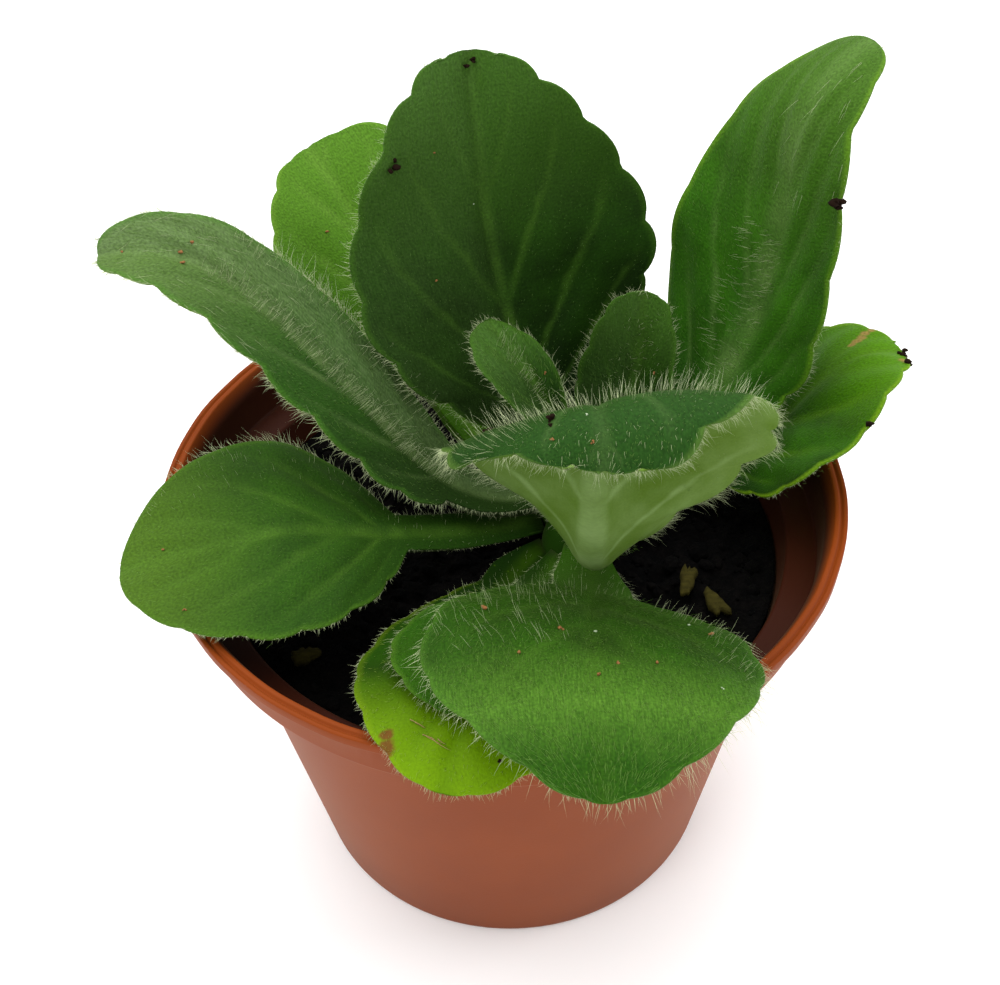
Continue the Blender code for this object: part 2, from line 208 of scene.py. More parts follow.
def soft_panel(name, place, width, watts):
    """A square lamp that faces the plant."""
    panel = bpy.data.objects.new(name, bpy.data.lights.new(name, 'AREA'))
    panel.data.size = width
    panel.data.energy = watts
    panel.location = place
    aim = LAMPS_AIM - Vector(place)
    panel.rotation_euler = aim.to_track_quat('-Z', 'Y').to_euler()
    bpy.context.collection.objects.link(panel)


for name, (place, width, watts) in PANELS.items():
    soft_panel(name, place, width, watts)
print("floor across, in metres:", 2 * FLOOR_RADIUS, "lamps:", len(PANELS))

# %% [markdown]
# ## The pot
# The real pot is injection-moulded polypropylene, thin and slightly waxy, in terracotta brown. It
# is a turned shape, so its section is drawn once and spun. The section goes up the outside, over
# the lip with its moulded groove, and down the inside over the ledge that lets pots stack. The
# corners are rounded in the mesh, because a sharp edge would not catch the thin line of light that
# a moulded lip shows.

# %% Draw the pot's section
POT_RADIUS = 30.0
POT_HEIGHT = 41.3
BASE_RADIUS = 19.8
BODY_TOP_RADIUS = 25.8
COLLAR_RADIUS = 28.5
COLLAR_FOOT = POT_HEIGHT - 5.7
LIP_FOOT = POT_HEIGHT - 1.0
LIP_INNER = POT_RADIUS - 1.1
WALL = 0.6
FLOOR_THICKNESS = 0.8
POT_SIDES = 160


def inner_radius(z):
    """Radius of the pot body's inner wall at height z, below the collar."""
    return BASE_RADIUS + (BODY_TOP_RADIUS - BASE_RADIUS) * z / COLLAR_FOOT - WALL


def rounded(corners, steps=3):
    """A section through (radius, height, rounding) corners, each cut round over its own length."""
    section = []
    for k, (r, z, size) in enumerate(corners):
        here = np.array((r, z))
        if size == 0 or k in (0, len(corners) - 1):
            section.append(here)
            continue
        before, after = (np.array(corners[k + step][:2]) for step in (-1, 1))
        start = here + (before - here) / np.linalg.norm(before - here) * size
        end = here + (after - here) / np.linalg.norm(after - here) * size
        for t in np.linspace(0, 1, steps + 1):
            section.append((1 - t) ** 2 * start + 2 * t * (1 - t) * here + t ** 2 * end)
    return np.array(section)


groove = (POT_RADIUS + LIP_INNER) / 2
pot_section = rounded([
    (1.0, 0.0, 0), (BASE_RADIUS - 0.05, 0.0, 0.7), (BODY_TOP_RADIUS, COLLAR_FOOT - 0.1, 0.4),
    (COLLAR_RADIUS - 0.05, COLLAR_FOOT + 0.1, 0.35), (COLLAR_RADIUS + 0.4, LIP_FOOT, 0.12),
    (POT_RADIUS, LIP_FOOT, 0.15), (POT_RADIUS, POT_HEIGHT, 0.16), (groove + 0.2, POT_HEIGHT, 0.08),
    (groove, POT_HEIGHT - 0.22, 0.08), (groove - 0.2, POT_HEIGHT, 0.08), (LIP_INNER, POT_HEIGHT, 0.14),
    (COLLAR_RADIUS + 0.3 - WALL, LIP_FOOT - 0.5, 0.3), (COLLAR_RADIUS - WALL, COLLAR_FOOT + WALL + 0.05, 0.3),
    (inner_radius(COLLAR_FOOT) + 0.05, COLLAR_FOOT + WALL - 0.05, 0.3),
    (inner_radius(FLOOR_THICKNESS), FLOOR_THICKNESS, 0.5), (1.0, FLOOR_THICKNESS, 0)])
print("pot section points:", len(pot_section))

# %% [markdown]
# Polypropylene is coloured right through, so its look is one warm brown with little variation: a
# faint mottling from the melt, in patches of about a centimetre, and a satin gloss. Its index of
# refraction is 1.49. A very fine bump, a quarter of a millimetre from grain to grain, breaks up the
# reflections, as the slightly spark-eroded mould does. The inner wall is a much darker, near-black
# brown; the mesh carries a value, `pot_inside`, that is 1 there and 0 on the outside.

# %% Make the pot's plastic
def pot_plastic():
    material, tree, shader = new_material(
        "terracotta_polypropylene", Roughness=0.5, IOR=1.49, Specular_IOR_Level=0.08, Sheen_Weight=0.05,
        Sheen_Roughness=0.4, Sheen_Tint=srgb("#ffdcae"))
    place = add_node(tree, "ShaderNodeTexCoord").outputs["Object"]
    mottling = add_node(tree, "ShaderNodeTexNoise", {"Vector": place, "Scale": 90.0, "Detail": 3.0})
    brown = add_node(tree, "ShaderNodeValToRGB", {"Fac": mottling.outputs["Fac"]})
    brown.color_ramp.elements[0].position, brown.color_ramp.elements[0].color = 0.3, srgb("#7a340a")
    brown.color_ramp.elements[1].position, brown.color_ramp.elements[1].color = 0.75, srgb("#823a0e")
    grain = add_node(tree, "ShaderNodeTexNoise", {"Vector": place, "Scale": 4000.0, "Detail": 2.0})
    bump = add_node(tree, "ShaderNodeBump", {"Height": grain.outputs["Fac"], "Strength": 0.12,
                                             "Distance": 0.05 * MM})
    # the inner wall is given the near-black brown #361509 by the value pot_inside
    side = add_node(tree, "ShaderNodeAttribute", attribute_name="pot_inside")
    inner_share = add_node(tree, "ShaderNodeSeparateXYZ", {"Vector": side.outputs["Vector"]})
    inner_darkening = add_node(tree, "ShaderNodeMix", {MIX_SHARE: inner_share.outputs["X"],
                                             MIX_A: brown.outputs["Color"], MIX_B: srgb("#361509")},
                     data_type='RGBA')
    tree.links.new(inner_darkening.outputs[MIXED], shader.inputs["Base Color"])
    tree.links.new(bump.outputs["Normal"], shader.inputs["Normal"])
    return material


plastic = pot_plastic()
print("pot finish:", plastic.name)

# %% [markdown]
# To spin a section means to copy its points round the axis and join each ring of them to the next.
# The lip gets a waver of a few hundredths of a millimetre, because a thin moulded lip is never
# quite true, and its highlight would otherwise be a perfect ring. The drainage holes are then cut
# out of the floor with a Boolean, one round cutter at a time. Last, each point gets its value for
# the darker inner wall, by how far it lies inside the outer wall and below the lip.

# %% Spin the pot and drill its holes
DRAIN_HOLES = 6
DRAIN_HOLE_RADIUS = 1.8
DRAIN_CIRCLE = 12.5
DRILL_SIDES = 32
LIP_WAVER = 0.02


def skin(rings):
    """Points, and faces that join each ring of points to the next and close both ends."""
    count, sides = rings.shape[:2]
    ring, side = np.meshgrid(np.arange(count - 1), np.arange(sides), indexing='ij')
    following = (side + 1) % sides
    quads = np.stack([ring * sides + side, ring * sides + following,
                      (ring + 1) * sides + following, (ring + 1) * sides + side], -1)
    first = np.arange(sides)[::-1][None]
    last = (count - 1) * sides + np.arange(sides)[None]
    return rings.reshape(-1, 3), [quads.reshape(-1, 4), first, last]


def spin(section, sides):
    """Points and faces of a section of (radius, height) turned about the Z axis."""
    turn = 2 * np.pi * np.arange(sides) / sides
    return skin(np.stack([np.outer(section[:, 0], np.cos(turn)), np.outer(section[:, 0], np.sin(turn)),
                          np.repeat(section[:, 1:2], sides, 1)], -1))


def drill(piece, x, y, radius, top):
    """Cuts a round hole from below the floor up to height `top`."""
    section = np.array([(radius, -1.0), (radius, top)])
    points, faces = spin(section, DRILL_SIDES)
    mesh = bpy.data.meshes.new("drill")
    mesh.from_pydata([tuple((x * MM + p[0] * MM, y * MM + p[1] * MM, p[2] * MM)) for p in points], [],
                     [tuple(int(k) for k in face) for part in faces for face in part])
    cutter = bpy.data.objects.new("drill", mesh)
    bpy.context.collection.objects.link(cutter)
    cut = piece.modifiers.new("hole", 'BOOLEAN')
    cut.operation = 'DIFFERENCE'
    cut.object = cutter
    with bpy.context.temp_override(object=piece, active_object=piece):
        bpy.ops.object.modifier_apply(modifier=cut.name)
    bpy.data.objects.remove(cutter)


points, faces = spin(pot_section, POT_SIDES)
turned = np.arctan2(points[:, 1], points[:, 0])
waver = LIP_WAVER * sum(np.sin(n * turned + n) for n in (5, 9, 17, 29))
points[:, :2] *= 1 + (waver * (points[:, 2] > LIP_FOOT - 0.1) / POT_RADIUS)[:, None]
pot = new_piece("nursery_pot", points, faces, plastic, "terracotta_plastic", ["pot"])
for k in range(DRAIN_HOLES):
    turn = 2 * np.pi * (k + 0.5) / DRAIN_HOLES
    hole_x, hole_y = DRAIN_CIRCLE * np.cos(turn), DRAIN_CIRCLE * np.sin(turn)
    drill(pot, hole_x, hole_y, DRAIN_HOLE_RADIUS, FLOOR_THICKNESS + 1.0)

points = np.array([vertex.co for vertex in pot.data.vertices]) / MM
from_axis, level_of = np.hypot(points[:, 0], points[:, 1]), points[:, 2]
outer = np.interp(level_of, (0, COLLAR_FOOT - 0.1, COLLAR_FOOT + 0.1, LIP_FOOT),
                  (BASE_RADIUS, BODY_TOP_RADIUS, COLLAR_RADIUS, COLLAR_RADIUS + 0.4))
# the share of the darker inner wall: 1 inside the outer wall, above the floor and below the lip
inner_wall = np.clip((outer - from_axis - 0.1) / 0.4, 0, 1) * np.clip((level_of - 0.3) / 0.4, 0, 1)
inner_wall = inner_wall * np.clip((POT_HEIGHT - 0.1 - level_of) / 1.2, 0, 1)
inside = pot.data.attributes.new("pot_inside", 'FLOAT_VECTOR', 'POINT')
inside.data.foreach_set("vector", np.stack([inner_wall, inner_wall, inner_wall], -1).ravel())
print("pot triangles:", triangles_of(pot))

# %% [markdown]
# ## The peat
# Peat is a dark fibrous crumb. One displaced surface would look like tar, so the body is a plain
# turned solid with a rough top, and fourteen hundred crumbs of many sizes lie half sunk in it.
# Each crumb is the same dented ball, scaled, turned and placed by seeded random draws. The body's
# surface follows the CAD's own formula, and a hole in it leaves room for the stem.

# %% Shape the peat's body
PEAT_EDGE_HEIGHT = 33.4
PEAT_CROWN_HEIGHT = 32.0
PEAT_RELIEF = 0.45
STEM_X = 6.5
STEM_RADIUS = 3.65
STEM_DEPTH = 8.0
GAP = 0.3
PEAT_ROUGHNESS = 0.16


def peat_height(x, y):
    """Height of the peat's surface in the CAD model, which dips a little towards the stem."""
    from_axis = np.minimum(np.hypot(x, y) / inner_radius(PEAT_EDGE_HEIGHT), 1.0)
    to_stem = np.hypot(x - STEM_X, y)
    height = PEAT_CROWN_HEIGHT + (PEAT_EDGE_HEIGHT - PEAT_CROWN_HEIGHT) * np.minimum(to_stem / 12.0, 1.0)
    bumps = PEAT_RELIEF * (np.sin(0.9 * x + 1.1 * y) * np.cos(0.7 * y - 0.5 * x)
                           + 0.6 * np.sin(1.9 * x - 0.8 * y + 1.0) + 0.5 * np.sin(2.3 * y + 0.6 * x))
    quiet = np.minimum(1.0, (1.0 - from_axis) * 8.0) * np.clip((to_stem - 4.5) / 3.0, 0.0, 1.0)
    return height + bumps * quiet


def peat_body(material, sides=120, rings=34):
    edge = inner_radius(PEAT_EDGE_HEIGHT) - GAP
    hole = STEM_RADIUS + GAP
    floor_level = FLOOR_THICKNESS + GAP
    turn = 2 * np.pi * np.arange(sides) / sides
    walls = [(inner_radius(floor_level) - GAP - 1.2, floor_level),
             (inner_radius(floor_level + 1.0) - GAP, floor_level + 1.0)]
    rows = [np.stack([r * np.cos(turn), r * np.sin(turn), np.full(sides, z)], -1) for r, z in walls]
    rng = np.random.default_rng(3)
    for k in range(rings + 1):
        f = k / rings
        x = STEM_X * f + (edge + (hole - edge) * f) * np.cos(turn)
        y = (edge + (hole - edge) * f) * np.sin(turn)
        rough = rng.normal(0, PEAT_ROUGHNESS, sides) * min(1.0, 6 * f, 6 * (1 - f))
        rows.append(np.stack([x, y, peat_height(x, y) + rough], -1))
    bottom = PEAT_CROWN_HEIGHT - STEM_DEPTH - GAP
    rows.append(np.stack([STEM_X + hole * np.cos(turn), hole * np.sin(turn), np.full(sides, bottom)], -1))
    return new_piece("peat_bed", *skin(np.array(rows)), material, "peat", ["peat"])


# %% [markdown]
# Moist peat is nearly black, with a brown cast where it dries. The colour changes from crumb to
# crumb, about a millimetre apart, and a coarse bump with grains of half a millimetre makes the body
# as rough as the crumbs.

# %% Make the peat's material and its body
def peat_material():
    material, tree, shader = new_material("moist_peat", Roughness=1.0, Specular_IOR_Level=0.08)
    place = add_node(tree, "ShaderNodeTexCoord").outputs["Object"]
    patches = add_node(tree, "ShaderNodeTexNoise", {"Vector": place, "Scale": 900.0, "Detail": 4.0})
    dark = add_node(tree, "ShaderNodeValToRGB", {"Fac": patches.outputs["Fac"]})
    dark.color_ramp.elements[0].position, dark.color_ramp.elements[0].color = 0.35, srgb("#010101")
    dark.color_ramp.elements[1].position, dark.color_ramp.elements[1].color = 0.72, srgb("#080605")
    grains = add_node(tree, "ShaderNodeTexVoronoi", {"Vector": place, "Scale": 2200.0})
    bump = add_node(tree, "ShaderNodeBump", {"Height": grains.outputs["Distance"], "Strength": 0.8,
                                             "Distance": 0.3 * MM})
    tree.links.new(dark.outputs["Color"], shader.inputs["Base Color"])
    tree.links.new(bump.outputs["Normal"], shader.inputs["Normal"])
    return material


dark_peat = peat_material()
peat = peat_body(dark_peat)
print("peat triangles:", triangles_of(peat))

# %% [markdown]
# The ball that every crumb starts from is an icosahedron: twelve corners at the golden ratio, with
# a face wherever three of them lie close together. All crumbs are made at once with arrays. Their
# sizes are drawn so that small ones are common and large ones rare, as in real peat.

# %% Crumbs of peat
PEAT_CRUMBS = 1500
CRUMB_DENT = 0.16
CRUMB_STRETCH = (0.7, 1.3)
CRUMB_RISE = 0.15
CORNERS_APART = 1.06
CRUMBS_OFF_WALL = 1.4
CRUMBS_OFF_STEM = 5.5
SMALLEST_CRUMB = 0.18
CRUMB_RANGE = 0.75


def icosahedron():
    """The 12 corners, on a ball of radius 1, and the 20 faces of an icosahedron."""
    gold = (1 + 5 ** 0.5) / 2
    corners = np.array([(a, b * gold, 0) for a in (-1, 1) for b in (-1, 1)], float)
    corners = np.concatenate([corners, np.roll(corners, 1, 1), np.roll(corners, 2, 1)])
    corners /= np.linalg.norm(corners[0])
    near = np.linalg.norm(corners[:, None] - corners[None], axis=2) < CORNERS_APART
    faces = []
    for i in range(12):
        for j in range(i + 1, 12):
            for k in range(j + 1, 12):
                if near[i, j] and near[j, k] and near[i, k]:
                    out = np.dot(np.cross(corners[j] - corners[i], corners[k] - corners[i]), corners[i])
                    faces.append((i, j, k) if out > 0 else (i, k, j))
    return corners, np.array(faces)


def crumbs(places, sizes, rng, flat=0.75):
    """Points and faces of many dented balls, each scaled unevenly and turned at random."""
    corners, faces = icosahedron()
    count = len(places)
    dents = 1 + rng.normal(0, CRUMB_DENT, (count, 12, 1))
    stretch = sizes[:, None, None] * np.stack([
        rng.uniform(*CRUMB_STRETCH, count), rng.uniform(*CRUMB_STRETCH, count), np.full(count, flat)],
        -1)[:, None]
    turn = rng.uniform(0, 2 * np.pi, count)
    shapes = corners[None] * dents * stretch
    x = shapes[..., 0] * np.cos(turn)[:, None] - shapes[..., 1] * np.sin(turn)[:, None]
    y = shapes[..., 0] * np.sin(turn)[:, None] + shapes[..., 1] * np.cos(turn)[:, None]
    points = np.stack([x, y, shapes[..., 2]], -1) + places[:, None]
    return points.reshape(-1, 3), [(faces[None] + 12 * np.arange(count)[:, None, None]).reshape(-1, 3)]


rng = np.random.default_rng(11)
spread = (inner_radius(PEAT_EDGE_HEIGHT) - CRUMBS_OFF_WALL) * np.sqrt(rng.random(PEAT_CRUMBS))
turn = rng.uniform(0, 2 * np.pi, PEAT_CRUMBS)
crumb_x, crumb_y = spread * np.cos(turn), spread * np.sin(turn)
clear_of_stem = np.hypot(crumb_x - STEM_X, crumb_y) > CRUMBS_OFF_STEM
crumb_x, crumb_y = crumb_x[clear_of_stem], crumb_y[clear_of_stem]
crumb_size = SMALLEST_CRUMB + CRUMB_RANGE * rng.random(len(crumb_x)) ** 4
crumb_z = peat_height(crumb_x, crumb_y) + CRUMB_RISE * crumb_size
peat_crumbs = new_piece("peat_crumbs", *crumbs(np.stack([crumb_x, crumb_y, crumb_z], -1), crumb_size, rng),
                        dark_peat, "peat")
print("crumbs:", len(crumb_x), "triangles:", triangles_of(peat_crumbs))

# %% [markdown]
# ## Chips of bark
# Three pale splinters lie on the peat. They are the CAD's flat lozenges with more rings, two of
# them longer and narrower, with a crooked surface from seeded draws. Each is given by its place, its
# length and width, and its turn in degrees; `CHIP_RINGS` gives how wide it is at each share of its
# thickness. Old wet bark in the pot's shade is a dull straw colour, with fibres 0.4 mm across and
# over a millimetre long.

# %% Make the chips
CHIPS = {
    "wood_chip_front": (16.0, -6.2, 3.6, 1.4, 75.0),
    "wood_chip_right": (18.2, -8.9, 3.2, 1.5, 115.0),
    "wood_chip_left": (-17.3, -13.3, 2.2, 1.6, 20.0),
}
CHIP_THICKNESS = 0.9
CHIP_OVER_PEAT = 0.1
CHIP_WAVE = 0.22
CHIP_RAGGED = 0.12
CHIP_CROOKED = 0.1
CHIP_POINTS = 22
CHIP_RINGS = ((0.3, 0.05), (0.8, 0.0), (0.95, 0.15), (1.0, 0.4), (0.95, 0.7), (0.7, 0.9), (0.3, 1.0))


def bark_material():
    material, tree, shader = new_material("dry_bark", Roughness=0.9, Specular_IOR_Level=0.1)
    place = add_node(tree, "ShaderNodeTexCoord").outputs["Object"]
    grain = add_node(tree, "ShaderNodeMapping", {"Vector": place, "Scale": (700.0, 2600.0, 2600.0)})
    streaks = add_node(tree, "ShaderNodeTexNoise", {"Vector": grain.outputs["Vector"], "Scale": 1.0,
                                                    "Detail": 4.0})
    straw = add_node(tree, "ShaderNodeMix", {MIX_SHARE: streaks.outputs["Fac"], MIX_A: srgb("#0c0a02"),
                                             MIX_B: srgb("#4a4418")}, data_type='RGBA')
    bump = add_node(tree, "ShaderNodeBump", {"Height": streaks.outputs["Fac"], "Strength": 0.6,
                                             "Distance": 0.2 * MM})
    tree.links.new(straw.outputs[MIXED], shader.inputs["Base Color"])
    tree.links.new(bump.outputs["Normal"], shader.inputs["Normal"])
    return material


def chip(name, x, y, length, width, turn, material, rng):
    """A lozenge with a wavering outline that lies on the highest bump of peat under it."""
    around = np.linspace(0, 2 * np.pi, CHIP_POINTS, endpoint=False)
    waver = 1 + CHIP_WAVE * np.sin(3 * around + rng.uniform(0, 6))
    waver = waver + CHIP_RAGGED * rng.normal(size=CHIP_POINTS)
    c, s = np.cos(np.radians(turn)), np.sin(np.radians(turn))
    u, v = 0.5 * length * np.cos(around) * waver, 0.5 * width * np.sin(around) * waver
    foot_x, foot_y = x + c * u - s * v, y + s * u + c * v
    seat = peat_height(foot_x, foot_y).max() + CHIP_OVER_PEAT
    rings = []
    for k, h in CHIP_RINGS:
        crooked = CHIP_CROOKED * rng.normal(size=CHIP_POINTS) * (0 < h < 1)
        level = seat + h * CHIP_THICKNESS + crooked
        rings.append(np.stack([x + (foot_x - x) * k, y + (foot_y - y) * k, level], -1))
    return new_piece(name.replace("wood", "bark"), *skin(np.array(rings)), material, "wood_chip", [name])


bark = bark_material()
rng = np.random.default_rng(21)
for name, values in CHIPS.items():
    chip(name, *values, bark, rng)
print("chips:", len(CHIPS))

# %% [markdown]
# ## The leaves' shape
# A leaf is a flat outline laid along a midrib. The midrib is a curve in space, given by its
# compass heading and its rise at even steps. It starts at the height `foot`, at `foot_radius` from
# the stem's axis in the direction `azimuth`. The outline gives the half width, the rounded teeth
# and the line along which each side vein runs. `stalk` and `foot_width` are the petiole's widths
# at the blade and at its foot. `widest` is the share of the blade's length where the blade is
# widest, `round` is the fullness of the outline at its base and at its tip, `sides` scales its left
# and right half, and `sweep` curves each row of points forwards. `fold` lifts both halves from the
# midrib, `curl` bends them further towards their edges, left and right, and `twist` turns the leaf
# about its midrib. These are the CAD model's own tables and steps, run here with
# more than three times as many rows, so that the finer mesh lies where the solid is. Four values
# serve only here: `slant` and `quilt` are the slant of the side veins and the swell between them,
# `tooth_sides` scales the teeth of either margin, and `smooth_tip` says over what share of the
# blade, and how fast, the teeth die away before the tip.

# %% Leaf tables
COMMON = dict(foot_radius=4.2, foot_width=3.0, stalk=4.4, widest=0.52, round=(0.8, 0.5), sides=(1.0, 1.0),
              sweep=0.10, twist=(0, 0), fold=(20, 10, 5), curl=((0, 0), (0, 0)),
              teeth=7, tooth_depth=0.75, thickness=0.8, rib=1.4, slant=1.6, quilt=0.13,
              tooth_sides=(1.0, 1.0), smooth_tip=(0.12, 1))
LEAVES = {
    "leaf_front_yellow": dict(
        azimuth=-153, foot=34.3, petiole=6.3, blade=27.4, width=19.5, widest=0.57, round=(0.55, 0.5),
        rise=(9, 17, 22, 15, -26), heading=(-128, -105, -97, -100, -107), twist=(20, 2, 0),
        fold=(0, -2, 1, 1, -1), sides=(1.02, 0.94), foot_width=2.4, thickness=0.7, rib=0.6),
    "leaf_front_mid": dict(
        azimuth=-118, foot=35.1, petiole=7.2, blade=20.2, width=16.2, widest=0.58, round=(0.8, 0.5),
        rise=(18, 34, 25, 9, -11), heading=(-108, -109, -112, -112, -111), twist=(2, -4, -1),
        fold=(6, -2, -7, -9, 3), curl=((-1, 0), (-3, -5)), foot_width=2.2, sweep=0.06, thickness=0.7,
        rib=0.5, teeth=6),
    "leaf_front": dict(
        azimuth=-76, foot=36.3, petiole=10.2, blade=27.3, width=28.8, widest=0.53, round=(0.83, 0.6),
        rise=(18, 34, 28, 9, -35), heading=(-91, -94, -95, -89, -92), twist=(18, 7, 4),
        fold=(-12, 3, 6, 3, 17), curl=((1, 2, -15, -15), (-1, -11, -12, -20)), sides=(0.88, 0.87),
        stalk=5.6, foot_width=3.4, rib=0.9),
    "leaf_left_low": dict(
        azimuth=166, foot=35.4, petiole=13.3, blade=25.1, width=22.0, widest=0.49, round=(0.5, 0.64),
        rise=(18, 24, 22, -5, -22), heading=(210, 208, 197, 191, 180), twist=(26, 10, 13),
        fold=(-12, -5, 0, 2, 25), curl=((-2, 4, -2, 8), (0, -6, -13, -7)), sides=(0.94, 0.98), stalk=4.0,
        foot_radius=4.45),
    "leaf_right_low": dict(
        azimuth=10, foot=35.2, petiole=9.7, blade=20.4, width=20.2, widest=0.44, round=(0.55, 0.5),
        rise=(28, 30, 37, 39, -22), heading=(19, 14, 11, 17, 0), twist=(12, 10, 14),
        fold=(12, 6, 2, -6, 5), curl=((0, -1, -3, 1), (0, -11, 17, -6)), sides=(0.98, 1.05)),
    "leaf_back_left": dict(
        azimuth=127, foot=35.5, petiole=12.5, blade=27.3, width=23.8, widest=0.59, round=(0.88, 0.42),
        rise=(18, 31, 49, 49, 32), heading=(136, 136, 130, 129, 137), twist=(0, 2, 3),
        fold=(11, 11, 10, 9, 8), curl=((0, 0), (0, 3)), sides=(0.83, 1.15)),
    "leaf_left_long": dict(
        azimuth=165, foot=38.6, petiole=7.9, blade=37.4, width=10.4, widest=0.48, round=(0.3, 0.36),
        rise=(8, 49, 48, 35, -21), heading=(197, 170, 162, 166, 178), twist=(17, 13, 22),
        fold=(23, 7, 9, 13, 17), curl=((-9, -5, 0, -5), (-1, -6, -11, 5)), sides=(1.08, 0.89), teeth=8),
    "leaf_back": dict(
        azimuth=97, foot=38.1, petiole=2.4, blade=37.1, width=28.0, widest=0.5, round=(1.1, 0.44),
        rise=(35, 59, 70, 80, 69), heading=(117, 124, 122, 115, 97), twist=(6, 11, 4),
        fold=(21, 16, 18, 16, 32), curl=((-3, 2, -7, 9), (0, 5, 5, 1)), tooth_depth=1.0),
    "leaf_right_tall": dict(
        azimuth=26, foot=37.9, petiole=6.8, blade=40.3, width=19.0, widest=0.44, round=(1.0, 0.32),
        rise=(34, 45, 76, 84, 18), heading=(19, 33, 34, 29, 16), twist=(-16, -1, 9),
        fold=(6, 1, 11, -7, -7), curl=((3, -20, 10, -18), (-5, -10, 14, -1)), sides=(1.12, 0.88), teeth=8),
    "leaf_middle": dict(
        azimuth=-64, foot=38.3, petiole=9.0, blade=26.0, width=24.8, widest=0.62, round=(0.85, 0.5),
        rise=(34, 40, 108, 65, -80), heading=(-93, -100, -98, -96, -81), twist=(5, 3, -22),
        fold=(32, 25, 23, 9, 9), curl=((4, 2, -30, -44), (3, -2, -44, -42)), sides=(1.1, 0.98),
        stalk=3.4, foot_width=2.6, rib=0.6),
    "leaf_young_left": dict(
        azimuth=140, foot=38.8, foot_radius=2.4, petiole=4.2, blade=14.8, width=7.8, widest=0.64,
        round=(0.84, 0.4), rise=(100, 92, 56, 34, 20), heading=(139, 136, 134, 131, 127),
        twist=(9, 4, -7), fold=(55, 44, 28, 14, -8), sides=(1.15, 0.6), stalk=2.6, foot_width=2.0,
        rib=0.8, teeth=5, tooth_depth=0.3),
    "leaf_young_right": dict(
        azimuth=60, foot=38.9, foot_radius=2.4, petiole=2.5, blade=16.4, width=9.4, widest=0.44,
        round=(0.84, 0.32), rise=(54, 45, 64, 82, 79), heading=(46, 46, 54, 63, 75),
        twist=(-6, -3, -5), fold=(31, 26, 21, 17, 11), sides=(1.05, 0.95), stalk=2.6, foot_width=2.0,
        rib=0.8, teeth=5, tooth_depth=0.3),
}
print("leaves:", len(LEAVES))

# %% [markdown]
# The CAD's coarse rows blunt the teeth, so its depths would come out sharper here. The next table
# holds what the finer outline needs instead, matched to the photo leaf by leaf: the old leaves are
# nearly smooth, on some leaves one margin is more scalloped than the other, the front leaf's
# petiole is broader, and the tip of the low left leaf is blunter and lies flatter. A row of points
# is laid across the leaf at each step of its outline, curved forwards as the side veins are, and
# then bent by `fold` and `curl`. The columns stand closer together near the midrib, for the groove.

# %% Lay a leaf's outline along its midrib
OWN_OUTLINE = {
    "leaf_front_yellow": dict(tooth_depth=0.35),
    "leaf_front_mid": dict(tooth_depth=0.3, stalk=3.6),
    "leaf_front": dict(tooth_depth=0.45, stalk=7.6, foot_width=5.6),
    "leaf_left_low": dict(tooth_depth=0.35, tooth_sides=(1.5, 0.3), round=(0.72, 0.55), slant=2.0, quilt=0.2,
                          smooth_tip=(0.4, 2), fold=(-12, -5, 0, 2, 6),
                          curl=((-2, 4, -2, 4), (0, -6, -13, -10))),
    "leaf_right_low": dict(tooth_depth=0.5),
    "leaf_back_left": dict(tooth_depth=0.5),
    "leaf_left_long": dict(tooth_depth=0.6, tooth_sides=(1.3, 0.4), smooth_tip=(0.3, 2)),
    "leaf_back": dict(tooth_depth=0.85, teeth=8, slant=2.1),
    "leaf_right_tall": dict(tooth_depth=0.6, tooth_sides=(0.3, 1.3), slant=2.6, quilt=0.24,
                            smooth_tip=(0.3, 2)),
    "leaf_middle": dict(tooth_depth=1.0, quilt=0.03),
    "leaf_young_left": dict(tooth_depth=0.2),
    "leaf_young_right": dict(tooth_depth=0.3),
}
TEETH_START = 0.10
TOOTH_RISE = 0.15
LOBE_FULLNESS = 0.6
LOBE_LEVEL = 0.7
NECK_SHARE = 0.55
NECK_POWER = 1.3
STALK_WIDENS_OVER = 0.6
ROWS = 96
STALK_ROWS = 18
COLUMNS = 12
BEND_STEPS = 8
ACROSS = np.linspace(-1, 1, 2 * COLUMNS + 1)
ACROSS = np.sign(ACROSS) * np.abs(ACROSS) ** 1.25


def along(values, t):
    """A smooth curve through values at even steps of t from 0 to 1."""
    values = np.array([2 * values[0] - values[1], *values, 2 * values[-1] - values[-2]], float)
    x = np.clip(t, 0, 1) * (len(values) - 3)
    i = np.minimum(np.floor(x).astype(int), len(values) - 4)
    f = x - i
    a, b, c, d = values[i], values[i + 1], values[i + 2], values[i + 3]
    return b + 0.5 * f * (c - a + f * (2 * a - 5 * b + 4 * c - d + f * (3 * (b - c) + d - a)))


def midrib(leaf, steps=120):
    """Distance from the foot, and at each step the place and the right and up axes."""
    length = leaf["petiole"] + leaf["blade"]
    s = np.linspace(0, length, steps)
    rise = np.radians(along(leaf["rise"], s / length))
    heading = np.radians(along(leaf["heading"], s / length))
    forward = np.stack([np.cos(rise) * np.cos(heading), np.cos(rise) * np.sin(heading), np.sin(rise)], 1)
    azimuth = np.radians(leaf["azimuth"])
    place = np.zeros((steps, 3))
    place[1:] = np.cumsum((forward[1:] + forward[:-1]) / 2, 0) * length / (steps - 1)
    place += (STEM_X + leaf["foot_radius"] * np.cos(azimuth), leaf["foot_radius"] * np.sin(azimuth),
              leaf["foot"])
    level = np.stack([np.sin(heading), -np.cos(heading), 0 * heading], 1)
    twist = np.radians(along(leaf["twist"], s / length))[:, None]
    side = level * np.cos(twist) + np.cross(level, forward) * np.sin(twist)
    return s, place, side, np.cross(side, forward)


